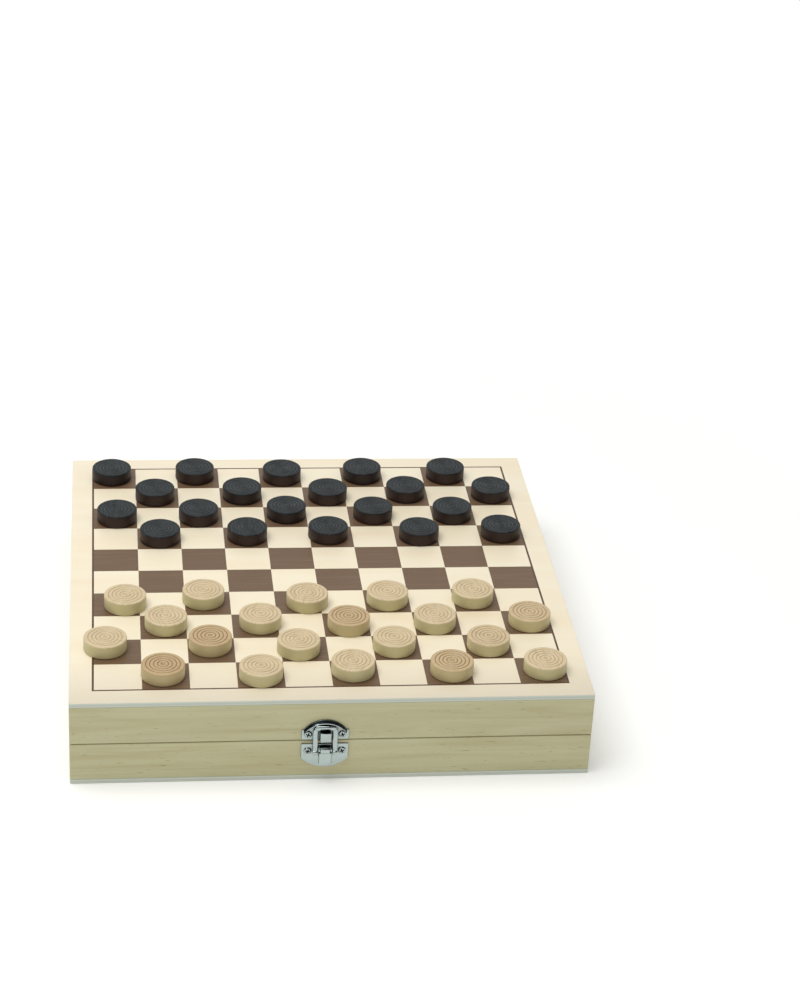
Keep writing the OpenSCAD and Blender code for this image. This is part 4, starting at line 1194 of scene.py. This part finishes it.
def leaf_mesh(look, width, knuckles, span, bore):
    """A hinge leaf with rounded corners and a knuckle at each place given."""
    half, turn = width / 2, 1.2 * MM
    outline = [(half, look.step)] + arc((half - turn, look.reach - turn), turn, 0, 90, 5)
    bm = bmesh.new()
    add_plate(bm, mirrored(outline), 0, look.leaf, 0.2 * MM)
    tube = pin_mesh(look.knuckle, span, 0.2 * MM, bore)
    for x in knuckles:
        add_box(bm, (x - span / 2, 0, 0), (x + span / 2, look.step + 0.3 * MM, look.leaf))
        add_copy(bm, tube, Matrix.Translation((x, 0, look.knuckle + 0.2 * MM)))
    return bm


class MakeHinges(bpy.types.Operator):
    """Presses the two butt hinges: leaves, pins and countersunk screws"""
    bl_idname = "games_box.make_hinges"
    bl_label = "Hinges"

    def execute(self, context):
        look = context.scene.games_box.hinges
        plate = nickel_plate()
        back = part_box("base_back_rail")[1].y
        rise, play = 0.25 * MM, 0.05 * MM
        head = screw_mesh(look.sunk, rise, look.leaf + SHANK)
        screws = {"lid": bmesh.new(), "base": bmesh.new()}
        for side in ("left", "right"):
            low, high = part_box(f"{side}_hinge_pin")
            middle = (low + high) / 2
            width, bore = high.x - low.x, (high.z - low.z) / 2 + play
            span = (width - 2 * look.gap) / 3
            rod = bmesh.new()
            add_copy(rod, pin_mesh(bore - play, width + 0.1 * MM, 0.3 * MM),
                     Matrix.Translation(middle))
            finish_metal(f"{side}_hinge_pin", "riveted", rod, "base", plate)
            for part, sign, knuckles in (("lid", 1, (0,)),
                                         ("base", -1, (-span - look.gap, span + look.gap))):
                # x along the hinge, y away from its pin, z out of the back of the case
                world = Matrix(((1, 0, 0, middle.x), (0, 0, 1, back),
                                (0, sign, 0, middle.z), (0, 0, 0, 1)))
                finish_metal(f"{side}_hinge_{part}_leaf", "pressed",
                             leaf_mesh(look, width, knuckles, span, bore), part, plate, world)
                row = bmesh.new()
                add_screws(row, head, rise,
                           [(x * (width / 2 - 6 * MM), (look.step + look.reach) / 2, look.leaf)
                            for x in (-1, 1)])
                bmesh.ops.transform(row, matrix=world, verts=row.verts)
                add_mesh(screws[part], to_loose_mesh(row))
        for part, bm in screws.items():
            finish_metal(f"{part}_hinge_screws", "driven", bm, part, plate)
        return {"FINISHED"}


# ---------- Stage ----------

SHADOW_ENDS = (0.26, 0.5)    # metres from the middle over which the floor turns to plain white
FLOOR_HALF = 6               # metres from the middle to the floor's edge
FLOOR_GAP = 0.05 * MM        # between the case and the floor
PAPER_GLOW = 0.16            # lifts the lit paper so that only the case's shadow stays grey
SOFTBOX_PLACE = (-0.5, -0.15, 1.9)
SOFTBOX_SIZE = 1.4


def white_to_camera(tree, lit, white):
    """Mixes a plain white in for the camera and for mirrors and glass, in place of the lit
    shader. Links the mix to the tree's output."""
    rays = add(tree, "LightPath", {}).outputs
    glossy = add(tree, "Math", {0: rays["Is Camera Ray"], 1: rays["Is Glossy Ray"]},
                 operation="MAXIMUM")
    seen = add(tree, "Math", {0: glossy, 1: rays["Is Transmission Ray"]}, operation="MAXIMUM")
    mixed = add(tree, "MixShader", {0: seen, 1: lit, 2: white})
    end = next(node for node in tree.nodes if node.type.startswith("OUTPUT"))
    tree.links.new(mixed.outputs[0], end.inputs["Surface"])


def add_sheet(name, size, place, material):
    """Adds a flat square that belongs to the stage."""
    bm = bmesh.new()
    bmesh.ops.create_grid(bm, x_segments=1, y_segments=1, size=size, matrix=place)
    mesh = bpy.data.meshes.new(name)
    bm.to_mesh(mesh)
    bm.free()
    mesh.materials.append(material)
    sheet = bpy.data.objects.new(name, mesh)
    bpy.context.scene.collection.objects.link(sheet)
    sheet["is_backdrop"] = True
    return sheet


def aimed(place, target):
    """A matrix at a place whose -Z looks at a target."""
    direction = Vector(target) - Vector(place)
    return Matrix.Translation(place) @ direction.to_track_quat("-Z", "Y").to_matrix().to_4x4()


class MakeStage(bpy.types.Operator):
    """Sets the floor, the soft light and the camera"""
    bl_idname = "games_box.make_stage"
    bl_label = "Stage"

    def execute(self, context):
        scene = context.scene
        look = scene.games_box.stage
        tints = finishes()
        scene.view_settings.view_transform = "Standard"

        # Near the case the lit paper shows its shadow; further out it turns to plain white
        paper, tree, shader = new_material("matt_white_paper", 0.9,
                                           Base_Color=(*tints.floor, 1))
        glow = add(tree, "Emission", {"Color": (1, 1, 1), "Strength": PAPER_GLOW})
        near_case = add(tree, "AddShader", {0: shader, 1: glow})
        plain = add(tree, "Emission", {"Color": (1, 1, 1), "Strength": 1})
        away = add(tree, "VectorMath", {0: add(tree, "TexCoord", {}).outputs["Object"]},
                   operation="LENGTH")
        share = add(tree, "MapRange", {"Value": away, "From Min": SHADOW_ENDS[0],
                                       "From Max": SHADOW_ENDS[1]},
                    interpolation_type="SMOOTHSTEP")
        faded = add(tree, "MixShader", {0: share, 1: near_case, 2: plain})
        white_to_camera(tree, shader, faded)
        floor_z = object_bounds()[0][2] - FLOOR_GAP
        add_sheet("floor", FLOOR_HALF, Matrix.Translation((0, 0, floor_z)), paper)

        world = bpy.data.worlds.new("studio")
        world.use_nodes = True
        scene.world = world
        tree = world.node_tree
        sky = tree.nodes["Background"]
        sky.inputs["Strength"].default_value = look.sky
        sky.inputs["Color"].default_value = (1, 1, 1, 1)
        white_to_camera(tree, sky,
                        add(tree, "Background", {"Color": (1, 1, 1), "Strength": 1}))

        lamp = bpy.data.lights.new("overhead_softbox", "AREA")
        lamp.shape = "SQUARE"
        lamp.size = SOFTBOX_SIZE
        lamp.energy = look.lamp
        softbox = bpy.data.objects.new("overhead_softbox", lamp)
        softbox.matrix_world = aimed(SOFTBOX_PLACE, (0, 0, 0))
        scene.collection.objects.link(softbox)

        # Dark flags over and beside the case, seen only in reflections, give the bright metal
        # its dark parts
        cloth = new_material("dark_studio_cloth", 1, Base_Color=(*tints.cloth, 1))[0]
        for side, size, place in (("overhead", 2.6, Matrix.Translation((0, -1.8, 2.4))),
                                  ("left", 1.4, aimed((-1.8, -1.1, 1.5), (0, -1.1, 1.5))),
                                  ("right", 1.4, aimed((1.8, -1.1, 1.5), (0, -1.1, 1.5)))):
            flag = add_sheet(f"{side}_flag", size, place, cloth)
            flag.visible_camera = False
            flag.visible_diffuse = False
            flag.visible_shadow = False
            flag.visible_transmission = False

        camera = bpy.data.cameras.new("camera")
        camera.sensor_fit = "VERTICAL"
        camera.sensor_height = 36
        camera.lens = look.focal_pixels * camera.sensor_height / IMAGE_HEIGHT
        viewer = bpy.data.objects.new("camera", camera)
        viewer.matrix_world = (Matrix.Translation(look.eye)
                               @ Matrix.Rotation(-look.heading, 4, "Z")
                               @ Matrix.Rotation(math.pi / 2 - look.dip, 4, "X")
                               @ Matrix.Rotation(look.roll, 4, "Z"))
        scene.collection.objects.link(viewer)
        scene.camera = viewer
        return {"FINISHED"}


# ---------- Panel and running ----------

STEPS = (MakeRails, MakeBoards, MakePrints, MakeDraughts, MakeChessMen, MakeLatch, MakeHinges,
         MakeStage)
GROUPS = (CaseLook, DraughtLook, LatchLook, HingeLook, ChessLook, Finishes, StageLook,
          GamesBox)


class GamesBoxPanel(bpy.types.Panel):
    """Sizes, colours and steps of the games box"""
    bl_idname = "VIEW3D_PT_games_box"
    bl_label = "Games Box"
    bl_space_type = "VIEW_3D"
    bl_region_type = "UI"
    bl_category = "Games Box"

    def draw(self, context):
        look = context.scene.games_box
        for group in (look.case, look.draughts, look.latch, look.hinges, look.chess,
                      look.finishes, look.stage):
            box = self.layout.box()
            for name in group.bl_rna.properties.keys():
                if name not in ("rna_type", "name"):
                    box.prop(group, name)
        for step in STEPS:
            self.layout.operator(step.bl_idname)


def register():
    for cls in (*GROUPS, *STEPS, GamesBoxPanel):
        bpy.utils.register_class(cls)
    bpy.types.Scene.games_box = PointerProperty(type=GamesBox)


def unregister():
    del bpy.types.Scene.games_box
    for cls in reversed((*GROUPS, *STEPS, GamesBoxPanel)):
        bpy.utils.unregister_class(cls)


def main():
    register()
    for step in STEPS:
        group, name = step.bl_idname.split(".")
        getattr(getattr(bpy.ops, group), name)()


if __name__ == "__main__":
    main()
